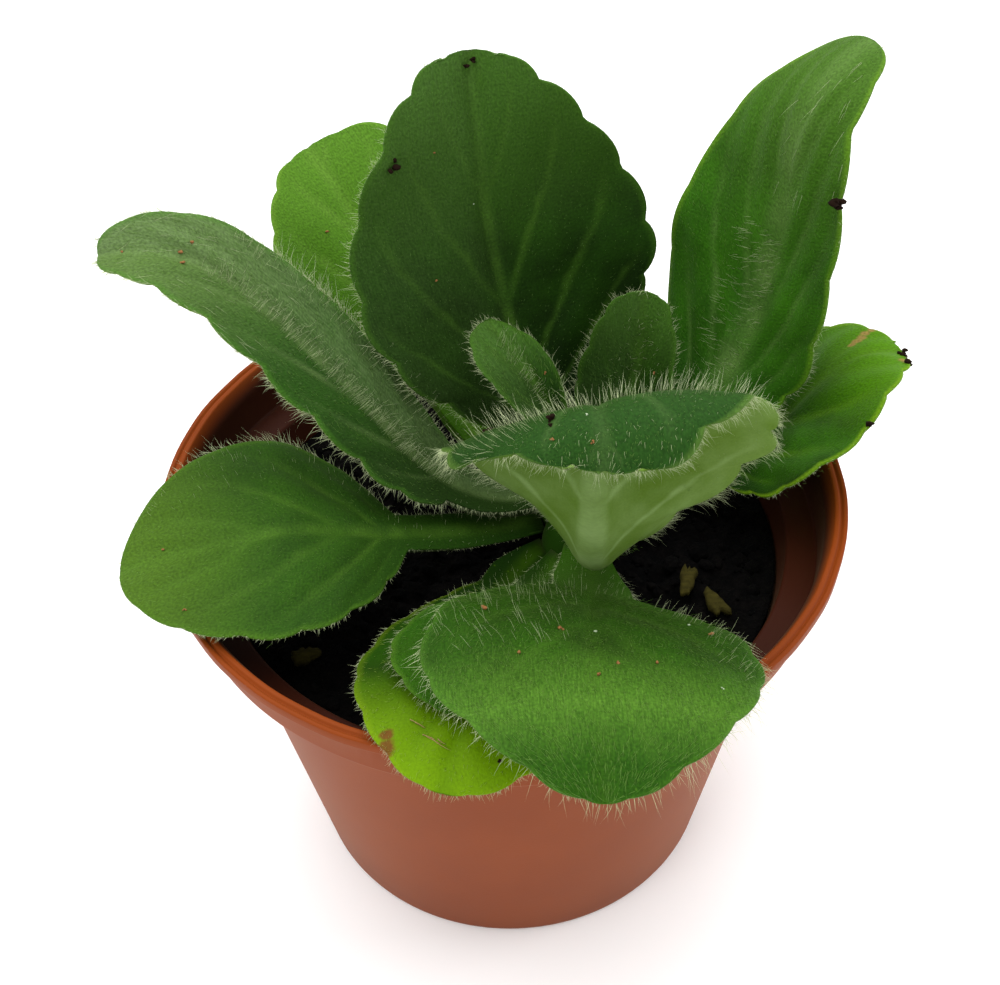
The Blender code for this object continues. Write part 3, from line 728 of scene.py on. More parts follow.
def flat_outline(leaf):
    """For each row: distance out, half width, where its side vein leaves the midrib, the rounded
    teeth as a push along the outline's normal, the count of teeth so far, and the blade's share."""
    even = np.linspace(0, 1, ROWS + 1)
    out = (1 - np.cos(np.pi * even)) / 2
    skew = np.log(0.5) / np.log(leaf["widest"])
    full = leaf["round"][0] + (leaf["round"][1] - leaf["round"][0]) * out
    half = leaf["width"] / 2 * np.maximum(np.sin(np.pi * out ** skew), 0) ** full
    neck = leaf["stalk"] / 2 * np.clip(1 - out / NECK_SHARE, 0, 1) ** NECK_POWER
    stalk = np.linspace(0, leaf["petiole"], STALK_ROWS, endpoint=False)
    widening = np.clip(stalk / (STALK_WIDENS_OVER * leaf["petiole"]), 0, 1)
    stalk_half = leaf["foot_width"] / 2 + (leaf["stalk"] - leaf["foot_width"]) / 2 * widening
    x = np.r_[stalk, leaf["petiole"] + leaf["blade"] * out]
    y = np.r_[stalk_half, np.hypot(half, neck)]
    vein = np.r_[stalk, leaf["petiole"] + leaf["blade"] * (out - leaf["sweep"] * np.sin(np.pi * out))]
    even = np.r_[0 * stalk, even]
    dx, dy = np.gradient(x), np.gradient(y)
    phase = np.clip((even - TEETH_START) / (1 - TEETH_START), 0, 1) * (leaf["teeth"] + 0.5)
    lobe = np.abs(np.sin(np.pi * phase)) ** LOBE_FULLNESS - LOBE_LEVEL
    push = leaf["tooth_depth"] * lobe * np.clip((even - TEETH_START) / TOOTH_RISE, 0, 1) / np.hypot(dx, dy)
    reach, power = leaf["smooth_tip"]
    push *= np.clip((1 - even) / reach, 0, 1) ** power
    share = np.r_[stalk / leaf["petiole"] - 1, out]
    return x, y, vein, -dy * push, dx * push, phase, share


def leaf_surface(leaf):
    """Points on the upper face over rows and columns, and the flat distance across the leaf. Each
    half bends in equal steps from the midrib outwards, and a point follows their mean direction."""
    s, place, side, up = midrib(leaf)
    x, y, vein, tooth_x, tooth_y, _, _ = flat_outline(leaf)
    grid = np.zeros((len(x), len(ACROSS), 3))
    flat = np.zeros((len(x), len(ACROSS)))
    part = (np.arange(BEND_STEPS) + 0.5) / BEND_STEPS
    for j, u in enumerate(ACROSS):
        a = abs(u)
        hand = 1 if u >= 0 else 0
        bite = leaf["tooth_sides"][hand] * a ** 3
        out = vein + (x - vein) * a + tooth_x * bite
        across = (y * a + tooth_y * bite) * leaf["sides"][hand]
        out[-1], across[-1] = x[-1], 0.0
        t = np.clip(out / s[-1], 0, 1)
        bend = along(leaf["curl"][hand], t)[:, None] * part * (across / (leaf["width"] / 2))[:, None]
        angle = np.radians(along(leaf["fold"], t)[:, None] + bend)
        side_step = np.sign(u) * across * np.cos(angle).mean(1)
        up_step = across * np.sin(angle).mean(1)
        for axis in range(3):
            grid[:, j, axis] = (np.interp(out, s, place[:, axis])
                                + side_step * np.interp(out, s, side[:, axis])
                                + up_step * np.interp(out, s, up[:, axis]))
        flat[:, j] = np.sign(u) * across
    return grid, flat


def unit(vectors):
    return vectors / np.maximum(np.linalg.norm(vectors, axis=-1, keepdims=True), 1e-9)


print("points on a leaf's upper face:", (STALK_ROWS + ROWS + 1) * len(ACROSS))

# %% [markdown]
# The CAD leaf is a plain sheet of even thickness. The living one has a groove over the midrib
# with a rib below it, cushions between the side veins, a slow waver over the whole blade, and a
# thin rounded margin. These are pushes along the surface's normal. The petiole is round below, and
# its foot reaches into the stem. Each row of points then goes all the way round the leaf: the upper
# face, three points round one margin, the under face, and three points round the other.

# %% Give a leaf its relief and its thickness
GROOVE_DEPTH = 0.40
GROOVE_WIDTH = 0.6
RIB_WIDTH = 1.5
WAVER = 0.05
FOOT_REACH = 1.7
VEINS_PER_TOOTH = 0.65
MARGIN_RADIUS = 0.11


def grid_normals(grid):
    """Normals over the rows and columns of a leaf; the tip's row repeats the one before it."""
    normals = np.cross(np.gradient(grid, axis=1), np.gradient(grid, axis=0))
    normals[-1] = normals[-2]
    return unit(normals)


def leaf_relief(leaf, flat, phase, share, rng):
    """How far the upper face rises over the smooth sheet: midrib groove, cushions and waver."""
    a = np.abs(ACROSS)[None]
    v = share[:, None]
    blade = np.clip(v / 0.15, 0, 1)
    vein_count = VEINS_PER_TOOTH * phase[:, None] + leaf["slant"] * (1 - a)
    waves = sum(np.sin(f * v * leaf["blade"] + g * flat + h) for f, g, h in
                zip(rng.uniform(0.3, 0.8, 4), rng.uniform(-0.7, 0.7, 4), rng.uniform(0, 6, 4)))
    return (-GROOVE_DEPTH * np.exp(-(flat / GROOVE_WIDTH) ** 2) * np.clip(1.05 - v, 0, 1) ** 0.5
            * (0.3 + 0.7 * blade)
            + leaf["quilt"] * np.cos(2 * np.pi * vein_count) * np.clip((v - 0.05) / 0.2, 0, 1)
            * (4 * a * (1 - a)) ** 0.5 * np.clip((1 - v) / 0.15, 0, 1)
            + WAVER * waves * blade)


def build_leaf(leaf, rng):
    """The upper face with its relief, the rings of the whole skin, and the values for its shader."""
    grid, flat = leaf_surface(leaf)
    x, _, _, _, _, phase, share = flat_outline(leaf)
    smooth = grid_normals(grid)
    a = np.abs(ACROSS)[None]
    v = share[:, None]
    relief = leaf_relief(leaf, flat, phase, share, rng)
    top = grid + smooth * relief[..., None]
    normals = grid_normals(top)
    spacing = np.linalg.norm(top[:, -1] - top[:, -2], axis=1)[:, None]
    edge = np.minimum(MARGIN_RADIUS, 0.45 * spacing)
    fade = np.clip(v, 0, 1)
    body = leaf["thickness"] * (1 - a ** 4) * np.minimum(1, spacing / 0.3)
    narrow = np.exp(-(flat / RIB_WIDTH) ** 2)
    round_stalk = (1 - a ** 2) ** 0.8
    section = round_stalk + (narrow - round_stalk) * np.clip(v / 0.2 + 0.3, 0, 1)
    rib = leaf["rib"] * (1 - fade) ** 1.2 * section
    under = grid - smooth * (2 * edge + body * (1 - a ** 4) + rib)[..., None]
    ends = []
    for column, hand in ((-1, 1), (0, -1)):
        outward = unit(top[:, column] - top[:, column - hand])
        outward = unit(outward - normals[:, column] * (outward * normals[:, column]).sum(1, keepdims=True))
        centre = top[:, column] - (outward + normals[:, column]) * edge
        bulge = [centre + edge * (outward * np.cos(q) + normals[:, column] * np.sin(q))
                 for q in np.radians((45, 0, -45))]
        ends.append(bulge if hand == 1 else bulge[::-1])
        top[:, column] = centre + edge * normals[:, column]
        under[:, column] = centre - edge * normals[:, column]
    ring = np.concatenate([top, np.stack(ends[0], 1), under[:, ::-1], np.stack(ends[1], 1)], 1)
    ring[-1] = ring[-1].mean(0)
    foot = unit(ring[0] - ring[1])
    ring = np.concatenate([(ring[0] + foot * FOOT_REACH)[None], ring])
    repeat = np.r_[0, np.arange(len(x))]
    columns = np.r_[ACROSS, [1, 1, 1], ACROSS[::-1], [-1, -1, -1]]
    below = np.r_[0 * ACROSS, [0.2, 0.5, 0.8], 0 * ACROSS + 1, [0.8, 0.5, 0.2]]
    flat_ring = np.concatenate([flat, flat[:, [-1, -1, -1]], flat[:, ::-1], flat[:, [0, 0, 0]]], 1)
    wide = np.ones_like(flat_ring)
    vein_count = VEINS_PER_TOOTH * phase[:, None] + leaf["slant"] * (1 - np.abs(columns)) * wide
    half_width = np.where(columns > 0, flat[:, -1:], -flat[:, :1])
    values = {
        "leaf_place": (columns * wide, share[:, None] * wide, vein_count),
        "leaf_paper": (flat_ring, x[:, None] * wide, 0 * wide),
        "leaf_edge": ((1 - np.abs(columns)) * half_width, below * wide, 0 * wide),
    }
    return top, normals, ring, {label: np.stack(parts, -1)[repeat].reshape(-1, 3)
                                for label, parts in values.items()}


print("points round a leaf in each row:", 2 * len(ACROSS) + 6)

# %% [markdown]
# ## The leaves' finish
# The blade is fleshy green tissue under a coat of short glassy hairs. Four things make its look:
# the green itself, which changes in soft patches; paler veins that slant strongly towards the tip;
# a thin yellow-green margin; and a whitish haze where the coat is dense. The finish is put
# together below, one layer over the other. It reads three sets of values from the mesh: where a
# point lies on the leaf as shares of its width and its length, its place in millimetres on the
# leaf laid flat, and how far it is from the margin. So the patterns bend with the leaf.

# %% Read a point's place on its leaf
def leaf_spot(tree):
    """The sockets that say where a point lies on its leaf."""
    place = add_node(tree, "ShaderNodeAttribute", attribute_name="leaf_place").outputs["Vector"]
    place = add_node(tree, "ShaderNodeSeparateXYZ", {"Vector": place})
    paper = add_node(tree, "ShaderNodeAttribute", attribute_name="leaf_paper").outputs["Vector"]
    flat = add_node(tree, "ShaderNodeSeparateXYZ", {"Vector": paper})
    edge = add_node(tree, "ShaderNodeAttribute", attribute_name="leaf_edge").outputs["Vector"]
    edge = add_node(tree, "ShaderNodeSeparateXYZ", {"Vector": edge})
    on_blade = add_node(tree, "ShaderNodeMapRange", {
        "Value": place.outputs["Y"], "From Min": 0.0, "From Max": 0.12})
    return dict(across=place.outputs["X"], along=place.outputs["Y"], vein_count=place.outputs["Z"],
                paper=paper, from_rib=flat.outputs["X"], from_margin=edge.outputs["X"],
                below=edge.outputs["Y"], on_blade=on_blade.outputs["Result"])


# %% [markdown]
# Living tissue is deep and saturated, because light goes into it and comes back. Two greens take
# turns in patches about four millimetres wide. The blade's foot lies in the plant's own shade, so on
# most leaves its colour there is painted darker: painted shade. Its tip is thinner, so it has a colour
# of its own. The tip's colour begins at `tip_from`, a share of the blade's length.

# %% Colour the blade
def blade_green(tree, spot, foot, deep, fresh, tip, tip_from):
    """The patches' tone from 0 to 1, and the blade's colour."""
    patches = add_node(tree, "ShaderNodeTexNoise", {"Vector": spot["paper"], "Scale": 0.22, "Detail": 3.0})
    tone = add_node(tree, "ShaderNodeMapRange", {
        "Value": patches.outputs["Fac"], "From Min": 0.35, "From Max": 0.65}).outputs["Result"]
    green = add_node(tree, "ShaderNodeMix", {
        MIX_SHARE: tone, MIX_A: srgb(deep), MIX_B: srgb(fresh)}, data_type='RGBA')
    # painted shade: on most finishes the foot's colour is darker, for the shade of the plant's own centre
    near_foot = add_node(tree, "ShaderNodeMapRange", {
        "Value": spot["along"], "From Min": 0.0, "From Max": 0.5, "To Min": 1.0, "To Max": 0.0},
        interpolation_type='SMOOTHSTEP')
    green = add_node(tree, "ShaderNodeMix", {
        MIX_SHARE: near_foot.outputs["Result"], MIX_A: green.outputs[MIXED], MIX_B: srgb(foot)},
        data_type='RGBA')
    near_tip = add_node(tree, "ShaderNodeMapRange", {
        "Value": spot["along"], "From Min": tip_from, "From Max": 1.0}, interpolation_type='SMOOTHSTEP')
    green = add_node(tree, "ShaderNodeMix", {
        MIX_SHARE: near_tip.outputs["Result"], MIX_A: green.outputs[MIXED], MIX_B: srgb(tip)},
        data_type='RGBA')
    return tone, green.outputs[MIXED]


# %% [markdown]
# A vein carries water and holds little green, so it is paler than the blade. The midrib is a band
# round the line where the distance from it is nought. For the side veins the mesh counts veins
# along the blade, and one runs wherever that count passes a half, after a slow noise has made it
# wander. Side veins fade out before the margin and on the petiole, and all veins are uneven.

# %% Draw the veins
def leaf_veins(tree, spot, vein_strength, vein_width, rib_strength, rib_width):
    """How much of a vein a point is, from 0 to about 1."""
    from_rib = add_node(tree, "ShaderNodeMath", {0: spot["from_rib"]}, operation='ABSOLUTE')
    rib = add_node(tree, "ShaderNodeMapRange", {
        "Value": from_rib.outputs["Value"], "From Min": 0.1, "From Max": rib_width,
        "To Min": rib_strength, "To Max": 0.0}, interpolation_type='SMOOTHSTEP')
    swing = add_node(tree, "ShaderNodeTexNoise", {"Vector": spot["paper"], "Scale": 0.3, "Detail": 2.0})
    swung = add_node(tree, "ShaderNodeMath", {0: swing.outputs["Fac"], 1: 0.3, 2: spot["vein_count"]},
                     operation='MULTIPLY_ADD')
    step = add_node(tree, "ShaderNodeMath", {0: swung.outputs["Value"], 1: 0.15}, operation='SUBTRACT')
    step = add_node(tree, "ShaderNodeMath", {0: step.outputs["Value"]}, operation='FRACT')
    apart = add_node(tree, "ShaderNodeMath", {0: step.outputs["Value"], 1: 0.5}, operation='SUBTRACT')
    apart = add_node(tree, "ShaderNodeMath", {0: apart.outputs["Value"]}, operation='ABSOLUTE')
    side = add_node(tree, "ShaderNodeMapRange", {
        "Value": apart.outputs["Value"], "From Min": 0.0, "From Max": vein_width,
        "To Min": vein_strength, "To Max": 0.0}, interpolation_type='SMOOTHSTEP')
    off_rim = add_node(tree, "ShaderNodeMapRange", {
        "Value": spot["from_margin"], "From Min": 1.0, "From Max": 4.0})
    side = add_node(tree, "ShaderNodeMath", {0: side.outputs["Result"], 1: spot["on_blade"]},
                    operation='MULTIPLY')
    side = add_node(tree, "ShaderNodeMath", {0: side.outputs["Value"], 1: off_rim.outputs["Result"]},
                    operation='MULTIPLY')
    veins = add_node(tree, "ShaderNodeMath", {0: rib.outputs["Result"], 1: side.outputs["Value"]},
                     operation='MAXIMUM')
    uneven = add_node(tree, "ShaderNodeMapRange", {
        "Value": swing.outputs["Fac"], "From Min": 0.3, "From Max": 0.6, "To Min": 1.2, "To Max": 0.5})
    veins = add_node(tree, "ShaderNodeMath", {0: veins.outputs["Value"], 1: uneven.outputs["Result"]},
                     operation='MULTIPLY')
    return veins.outputs["Value"]


# %% [markdown]
# Short flattened hairs lie over the green like frost on velvet. They are too fine to be mesh, so
# they are drawn as pale strokes 0.12 mm wide and a millimetre long, combed along the leaf. `haze`
# says how dense they are at shares of the blade's length. On some leaves one half is painted paler
# and greyer: painted sheen, as a velvet coat looks at a grazing angle. `sheen_half` is above 0 for
# the right half and below 0 for the left, and its size is how much more of the strokes that half
# gets. Last, each hair's root shows as a pale dot, and the dots are 0.7 mm apart.

# %% Draw the haze and the roots of the hairs
def leaf_haze(tree, spot, ground, frost, haze, sheen_half):
    """The colour `ground` with pale combed strokes and dots over it."""
    combed = add_node(tree, "ShaderNodeMapping", {"Vector": spot["paper"], "Scale": (8.0, 1.0, 1.0)})
    strokes = add_node(tree, "ShaderNodeTexNoise", {
        "Vector": combed.outputs["Vector"], "Scale": 1.0, "Detail": 2.0})
    stroke = add_node(tree, "ShaderNodeMapRange", {
        "Value": strokes.outputs["Fac"], "From Min": 0.35, "From Max": 0.7, "To Min": 0.65, "To Max": 1.4})
    amount = add_node(tree, "ShaderNodeValToRGB", {"Fac": spot["along"]})
    while len(amount.color_ramp.elements) < len(haze):
        amount.color_ramp.elements.new(0.5)
    for stop, (share, strength) in zip(amount.color_ramp.elements, haze):
        stop.position = share
        stop.color = (strength, strength, strength, 1.0)
    # painted sheen: one half gets more pale strokes, as the coat looks greyer at a grazing angle
    half = add_node(tree, "ShaderNodeMapRange", {
        "Value": spot["across"], "From Min": -0.1 * sheen_half,
        "From Max": 0.15 * sheen_half + (sheen_half == 0), "To Max": 0.2 * abs(sheen_half)})
    amount = add_node(tree, "ShaderNodeMath", {0: amount.outputs["Color"], 1: half.outputs["Result"]},
                      operation='ADD')
    stroke = add_node(tree, "ShaderNodeMath", {0: stroke.outputs["Result"], 1: amount.outputs["Value"]},
                      operation='MULTIPLY', use_clamp=True)
    frosted = add_node(tree, "ShaderNodeMix", {
        MIX_SHARE: stroke.outputs["Value"], MIX_A: ground, MIX_B: srgb(frost)}, data_type='RGBA')
    roots = add_node(tree, "ShaderNodeTexVoronoi", {"Vector": spot["paper"], "Scale": 1.5})
    dot = add_node(tree, "ShaderNodeMapRange", {
        "Value": roots.outputs["Distance"], "From Min": 0.07, "From Max": 0.16, "To Min": 0.35,
        "To Max": 0.0})
    dotted = add_node(tree, "ShaderNodeMix", {
        MIX_SHARE: dot.outputs["Result"], MIX_A: frosted.outputs[MIXED], MIX_B: srgb(frost)},
        data_type='RGBA')
    return dotted.outputs[MIXED]


# %% [markdown]
# The margin is thin enough to let light through, so half a millimetre of it is a lighter yellow
# green. The underside has looser tissue and fewer hairs: it is paler, and its veins are clearer
# than above. It also turns paler and darker in the blade's soft patches: painted shade, in place of
# the soft shading over its relief. The mesh says which face a point is on, 0 above and 1 below.

# %% Colour the margin and the underside
def leaf_margin(tree, spot, ground, margin, rim_strength):
    """The colour `ground` with the light margin over it."""
    at_rim = add_node(tree, "ShaderNodeMapRange", {
        "Value": spot["from_margin"], "From Min": 0.1, "From Max": 0.6, "To Min": rim_strength,
        "To Max": 0.0})
    at_rim = add_node(tree, "ShaderNodeMath", {0: at_rim.outputs["Result"], 1: spot["on_blade"]},
                      operation='MULTIPLY')
    rimmed = add_node(tree, "ShaderNodeMix", {
        MIX_SHARE: at_rim.outputs["Value"], MIX_A: ground, MIX_B: srgb(margin)}, data_type='RGBA')
    return rimmed.outputs[MIXED]


def leaf_underside(tree, spot, ground, tone, veins, below, vein):
    """The colour `ground` above, and the underside's own colours below."""
    # painted shade: the blade's soft patches make the underside paler and darker in turns
    paler = add_node(tree, "ShaderNodeMath", {0: tone, 1: 0.4, 2: veins}, operation='MULTIPLY_ADD',
                     use_clamp=True)
    pale = add_node(tree, "ShaderNodeMix", {
        MIX_SHARE: paler.outputs["Value"], MIX_A: srgb(below), MIX_B: srgb(vein)}, data_type='RGBA')
    beneath = add_node(tree, "ShaderNodeMath", {0: spot["below"], 1: spot["on_blade"]},
                       operation='MULTIPLY')
    whole = add_node(tree, "ShaderNodeMix", {
        MIX_SHARE: beneath.outputs["Value"], MIX_A: ground, MIX_B: pale.outputs[MIXED]},
        data_type='RGBA')
    return whole.outputs[MIXED]


# %% [markdown]
# Where the tissue was bruised it dried to a brown fleck. A pattern of cells 3 mm wide gives each
# cell a chance, and about one in seven has a fleck in its middle. `scorches` are larger ragged
# burns: each is a place on the leaf laid flat, in millimetres across and out, and a radius.

# %% Add flecks and scorched places
def leaf_bruises(tree, spot, ground, scorches, scorch):
    """The colour `ground` with brown flecks and burns over it."""
    cells = add_node(tree, "ShaderNodeTexVoronoi", {"Vector": spot["paper"], "Scale": 0.33})
    chance = add_node(tree, "ShaderNodeSeparateColor", {"Color": cells.outputs["Color"]})
    rare = add_node(tree, "ShaderNodeMath", {0: chance.outputs["Red"], 1: 0.85}, operation='GREATER_THAN')
    near = add_node(tree, "ShaderNodeMapRange", {
        "Value": cells.outputs["Distance"], "From Min": 0.05, "From Max": 0.10, "To Min": 0.8,
        "To Max": 0.0})
    fleck = add_node(tree, "ShaderNodeMath", {0: rare.outputs["Value"], 1: near.outputs["Result"]},
                     operation='MULTIPLY')
    ragged = add_node(tree, "ShaderNodeTexNoise", {"Vector": spot["paper"], "Scale": 1.5, "Detail": 3.0})
    for across, out, radius in scorches:
        gap = add_node(tree, "ShaderNodeVectorMath", {0: spot["paper"], 1: (across, out, 0.0)},
                       operation='DISTANCE')
        torn = add_node(tree, "ShaderNodeMath", {
            0: ragged.outputs["Fac"], 1: 0.9 * radius, 2: gap.outputs["Value"]}, operation='MULTIPLY_ADD')
        burn = add_node(tree, "ShaderNodeMapRange", {
            "Value": torn.outputs["Value"], "From Min": radius, "From Max": 1.5 * radius, "To Min": 0.9,
            "To Max": 0.0})
        fleck = add_node(tree, "ShaderNodeMath", {0: fleck.outputs["Value"], 1: burn.outputs["Result"]},
                         operation='MAXIMUM')
    flecked = add_node(tree, "ShaderNodeMix", {
        MIX_SHARE: fleck.outputs["Value"], MIX_A: ground, MIX_B: srgb(scorch)}, data_type='RGBA')
    return flecked.outputs[MIXED]


# %% [markdown]
# Velvet is a field of tiny hairs, some lit and some in shade. A grain of 0.2 mm darkens and
# lightens the green a little, and the same grain, with the veins as soft grooves, is the height
# for a fine bump. Both are much weaker on the smoother underside.

# %% Add the velvet's grain
def velvet_grain(tree, spot, ground, veins, grain_strength):
    """The colour `ground` with the grain in it, and the height for the bump."""
    grain = add_node(tree, "ShaderNodeTexNoise", {"Vector": spot["paper"], "Scale": 5.0, "Detail": 2.0})
    light = add_node(tree, "ShaderNodeMapRange", {
        "Value": grain.outputs["Fac"], "From Min": 0.3, "From Max": 0.7,
        "To Min": 1 - grain_strength, "To Max": 1 + grain_strength})
    rough = add_node(tree, "ShaderNodeMapRange", {"Value": spot["below"], "To Min": 1.0, "To Max": 0.25})
    grained = add_node(tree, "ShaderNodeHueSaturation", {
        "Fac": rough.outputs["Result"], "Color": ground, "Value": light.outputs["Result"]})
    height = add_node(tree, "ShaderNodeMath", {0: veins, 1: -0.6, 2: grain.outputs["Fac"]},
                      operation='MULTIPLY_ADD')
    height = add_node(tree, "ShaderNodeMath", {0: height.outputs["Value"], 1: rough.outputs["Result"]},
                      operation='MULTIPLY')
    return grained.outputs["Color"], height.outputs["Value"]


# %% [markdown]
# One recipe serves all leaves. Its index of refraction is 1.42, as that of wet leaf tissue, and
# its gloss is very weak, because the hairs scatter the light. On the hooded leaf the upper veins
# hardly show but the lower ones do, so `top_veins` weakens them above.

# %% Put the leaf finish together
def leaf_material(name, foot, deep, fresh, tip, vein, margin, below, frost,
                  haze=((0.0, 0.05), (1.0, 0.35)), sheen_half=0, vein_strength=0.4, vein_width=0.2,
                  rib_strength=0.5, rib_width=1.1, top_veins=1.0, tip_from=0.5, rim_strength=0.45,
                  scorches=(), scorch="#6b3d1c", grain_strength=0.26, bump_depth=0.15):
    material, tree, shader = new_material(
        name, Roughness=0.55, IOR=1.42, Specular_IOR_Level=0.07, Sheen_Weight=0.05, Sheen_Roughness=0.5,
        Sheen_Tint=srgb("#d2e494"))
    spot = leaf_spot(tree)
    tone, green = blade_green(tree, spot, foot, deep, fresh, tip, tip_from)
    veins = leaf_veins(tree, spot, vein_strength, vein_width, rib_strength, rib_width)
    on_top = add_node(tree, "ShaderNodeMath", {0: veins, 1: top_veins}, operation='MULTIPLY')
    veined = add_node(tree, "ShaderNodeMix", {
        MIX_SHARE: on_top.outputs["Value"], MIX_A: green, MIX_B: srgb(vein)}, data_type='RGBA')
    frosted = leaf_haze(tree, spot, veined.outputs[MIXED], frost, haze, sheen_half)
    rimmed = leaf_margin(tree, spot, frosted, margin, rim_strength)
    whole = leaf_underside(tree, spot, rimmed, tone, veins, below, vein)
    flecked = leaf_bruises(tree, spot, whole, scorches, scorch)
    colour, height = velvet_grain(tree, spot, flecked, veins, grain_strength)
    bump = add_node(tree, "ShaderNodeBump", {"Height": height, "Strength": 0.6,
                                             "Distance": bump_depth * MM})
    tree.links.new(colour, shader.inputs["Base Color"])
    tree.links.new(bump.outputs["Normal"], shader.inputs["Normal"])
    return material


# %% [markdown]
# Ten finishes come from the recipe, because leaves of different age and place differ: young ones
# are dark and velvety, old ones turn lime from the tip, and those at the back get less light.

# %% Choose the colours of each leaf finish
# On most finishes `foot` is darker than the blade: painted shade at the plant's centre.
FINISHES = {name: leaf_material(name, **shades) for name, shades in {
    # Painted shade at its near-black foot, and painted sheen on its greyer left half.
    "dark_velvet_leaf": dict(
        foot="#041401", deep="#0d2402", fresh="#193904", tip="#385f16", vein="#456a1e", margin="#3c6218",
        below="#43662a", frost="#486630", haze=((0.0, 0.02), (0.6, 0.05), (1.0, 0.3)), sheen_half=-1,
        vein_strength=0.42, vein_width=0.13, rib_width=0.8),
    "green_velvet_leaf": dict(
        foot="#173603", deep="#183a03", fresh="#244a05", tip="#466414", vein="#527824", margin="#486e1a",
        below="#4f7028", frost="#446424", vein_strength=0.26, rib_strength=0.35),
    "tall_velvet_leaf": dict(
        foot="#1a4403", deep="#1d4a03", fresh="#2c6205", tip="#365c10", vein="#5c7c3c", margin="#6a9620",
        below="#4f7028", frost="#567830", haze=((0.0, 0.03), (0.5, 0.1), (1.0, 0.3)), vein_strength=0.35,
        rib_strength=0.7, rib_width=2.2, rim_strength=0.4),
    "front_velvet_leaf": dict(
        foot="#264c06", deep="#102f02", fresh="#1a4203", tip="#1a4402", vein="#4a7020", margin="#487420",
        below="#4f7028", frost="#568028", haze=((0.0, 0.04), (0.55, 0.13), (0.78, 0.6), (0.92, 0.1)),
        rib_strength=0.2, vein_strength=0.2, rim_strength=0.3, bump_depth=0.22),
    # Painted sheen on its greyer right half.
    "frosted_leaf": dict(
        foot="#112a02", deep="#153c02", fresh="#204a05", tip="#44621c", vein="#647c46", margin="#447420",
        below="#6c8a3c", frost="#607848", haze=((0.0, 0.04), (0.5, 0.12), (1.0, 0.5)), sheen_half=2,
        rib_strength=0.6),
    "hooded_leaf": dict(
        foot="#1a380a", deep="#102a07", fresh="#18360b", tip="#1c420f", vein="#94b06c", margin="#688a3a",
        below="#5f7e2a", frost="#42622e", haze=((0.0, 0.08), (0.7, 0.1), (1.0, 0.15)), vein_strength=0.55,
        vein_width=0.12, rib_strength=0.6, top_veins=0.15, rim_strength=0.35),
    # Partly painted light: this back left leaf is lit through from behind, and that glow is in its light
    # green.
    "pale_green_leaf": dict(
        foot="#366004", deep="#345e04", fresh="#42700c", tip="#4a7718", vein="#688e34", margin="#688e2c",
        below="#567a24", frost="#587e2a"),
    "spring_green_leaf": dict(
        foot="#123002", deep="#183c02", fresh="#225004", tip="#265204", vein="#3e6414", margin="#4a701c",
        below="#4c7018", frost="#345a0a"),
    "yellow_green_leaf": dict(
        foot="#082400", deep="#103000", fresh="#265600", tip="#4e8002", vein="#4e760e", margin="#6e9414",
        below="#4c7018", frost="#426c0c", haze=((0.0, 0.0), (1.0, 0.2)), rim_strength=0.6,
        scorches=((-2.1, 26.8, 0.4), (-2.5, 27.2, 0.45), (-2.9, 27.6, 0.5), (-3.4, 28.0, 0.45),
                  (-3.8, 28.5, 0.4), (2.4, 29.5, 0.6), (1.4, 30.2, 0.4)), scorch="#8f7440"),
    # Its dark green middle before `tip_from` is partly its own green and partly painted shadow of the leaf
    # over it; its lime is its own yellowing, and partly painted light shining through it from behind.
    "ageing_lime_leaf": dict(
        foot="#0c2600", deep="#123000", fresh="#1c4400", tip="#6c9402", vein="#446a04", margin="#88a010",
        below="#5c7c0c", frost="#547608", haze=((0.0, 0.0), (1.0, 0.06)), vein_strength=0.25,
        rib_strength=0.3, rim_strength=0.15, tip_from=0.55, bump_depth=0.06, grain_strength=0.12,
        scorches=((5.0, 31.2, 0.9), (5.2, 30.1, 0.6))),
}.items()}
print("leaf finishes:", len(FINISHES))

# %% [markdown]
# ## Hairs
# Long glassy hairs stand along the margins, the petioles and the midribs, and a short coat covers
# the blades. Blender's own hair curves would be lost when the part is exported, so each hair is a
# closed three-sided spike of mesh, about 0.03 mm thick at its root. All hairs of one kind on one
# leaf are made at once with arrays, and gathered into one piece. Fringes and long hairs that would
# stand more than 0.9 mm out of the CAD model's box are cut back, a fifth at a time.

# %% Hair helpers
TAPER = 0.75
ASKEW = np.array((0.31, 0.67, 0.23))


def spikes(roots, directions, bends, lengths, radius, segments):
    """Points and faces of tapered spikes; each starts along its direction and bends by `bends`. Its
    sides are found with ASKEW, a direction that hardly any hair has."""
    count = len(roots)
    t = np.arange(segments + 1) / segments
    line = roots[:, None] + lengths[:, None, None] * (directions[:, None] * t[:, None]
                                                      + bends[:, None] * t[:, None] ** 2)
    side = unit(np.cross(directions, ASKEW))
    other = np.cross(directions, side)
    thirds = 2 * np.pi * np.arange(3) / 3
    ring = side[:, None] * np.cos(thirds)[:, None] + other[:, None] * np.sin(thirds)[:, None]
    thick = radius * (1 - TAPER * t[:-1])
    rings = line[:, :-1, None] + ring[:, None] * thick[None, :, None, None]
    points = np.concatenate([rings.reshape(count, -1, 3), line[:, -1:]], 1)
    quads = [(3 * s + k, 3 * s + (k + 1) % 3, 3 * s + 3 + (k + 1) % 3, 3 * s + 3 + k)
             for s in range(segments - 1) for k in range(3)]
    top = 3 * (segments - 1)
    thirds_up = [(top + k, top + (k + 1) % 3, 3 * segments) for k in range(3)] + [(2, 1, 0)]
    shift = (3 * segments + 1) * np.arange(count)[:, None, None]
    faces = [(np.array(part)[None] + shift).reshape(-1, len(part[0])) for part in (quads, thirds_up) if part]
    return points.reshape(-1, 3), faces


REACH = 0.9
CUTS = 12
KEPT_BY_A_CUT = 0.8


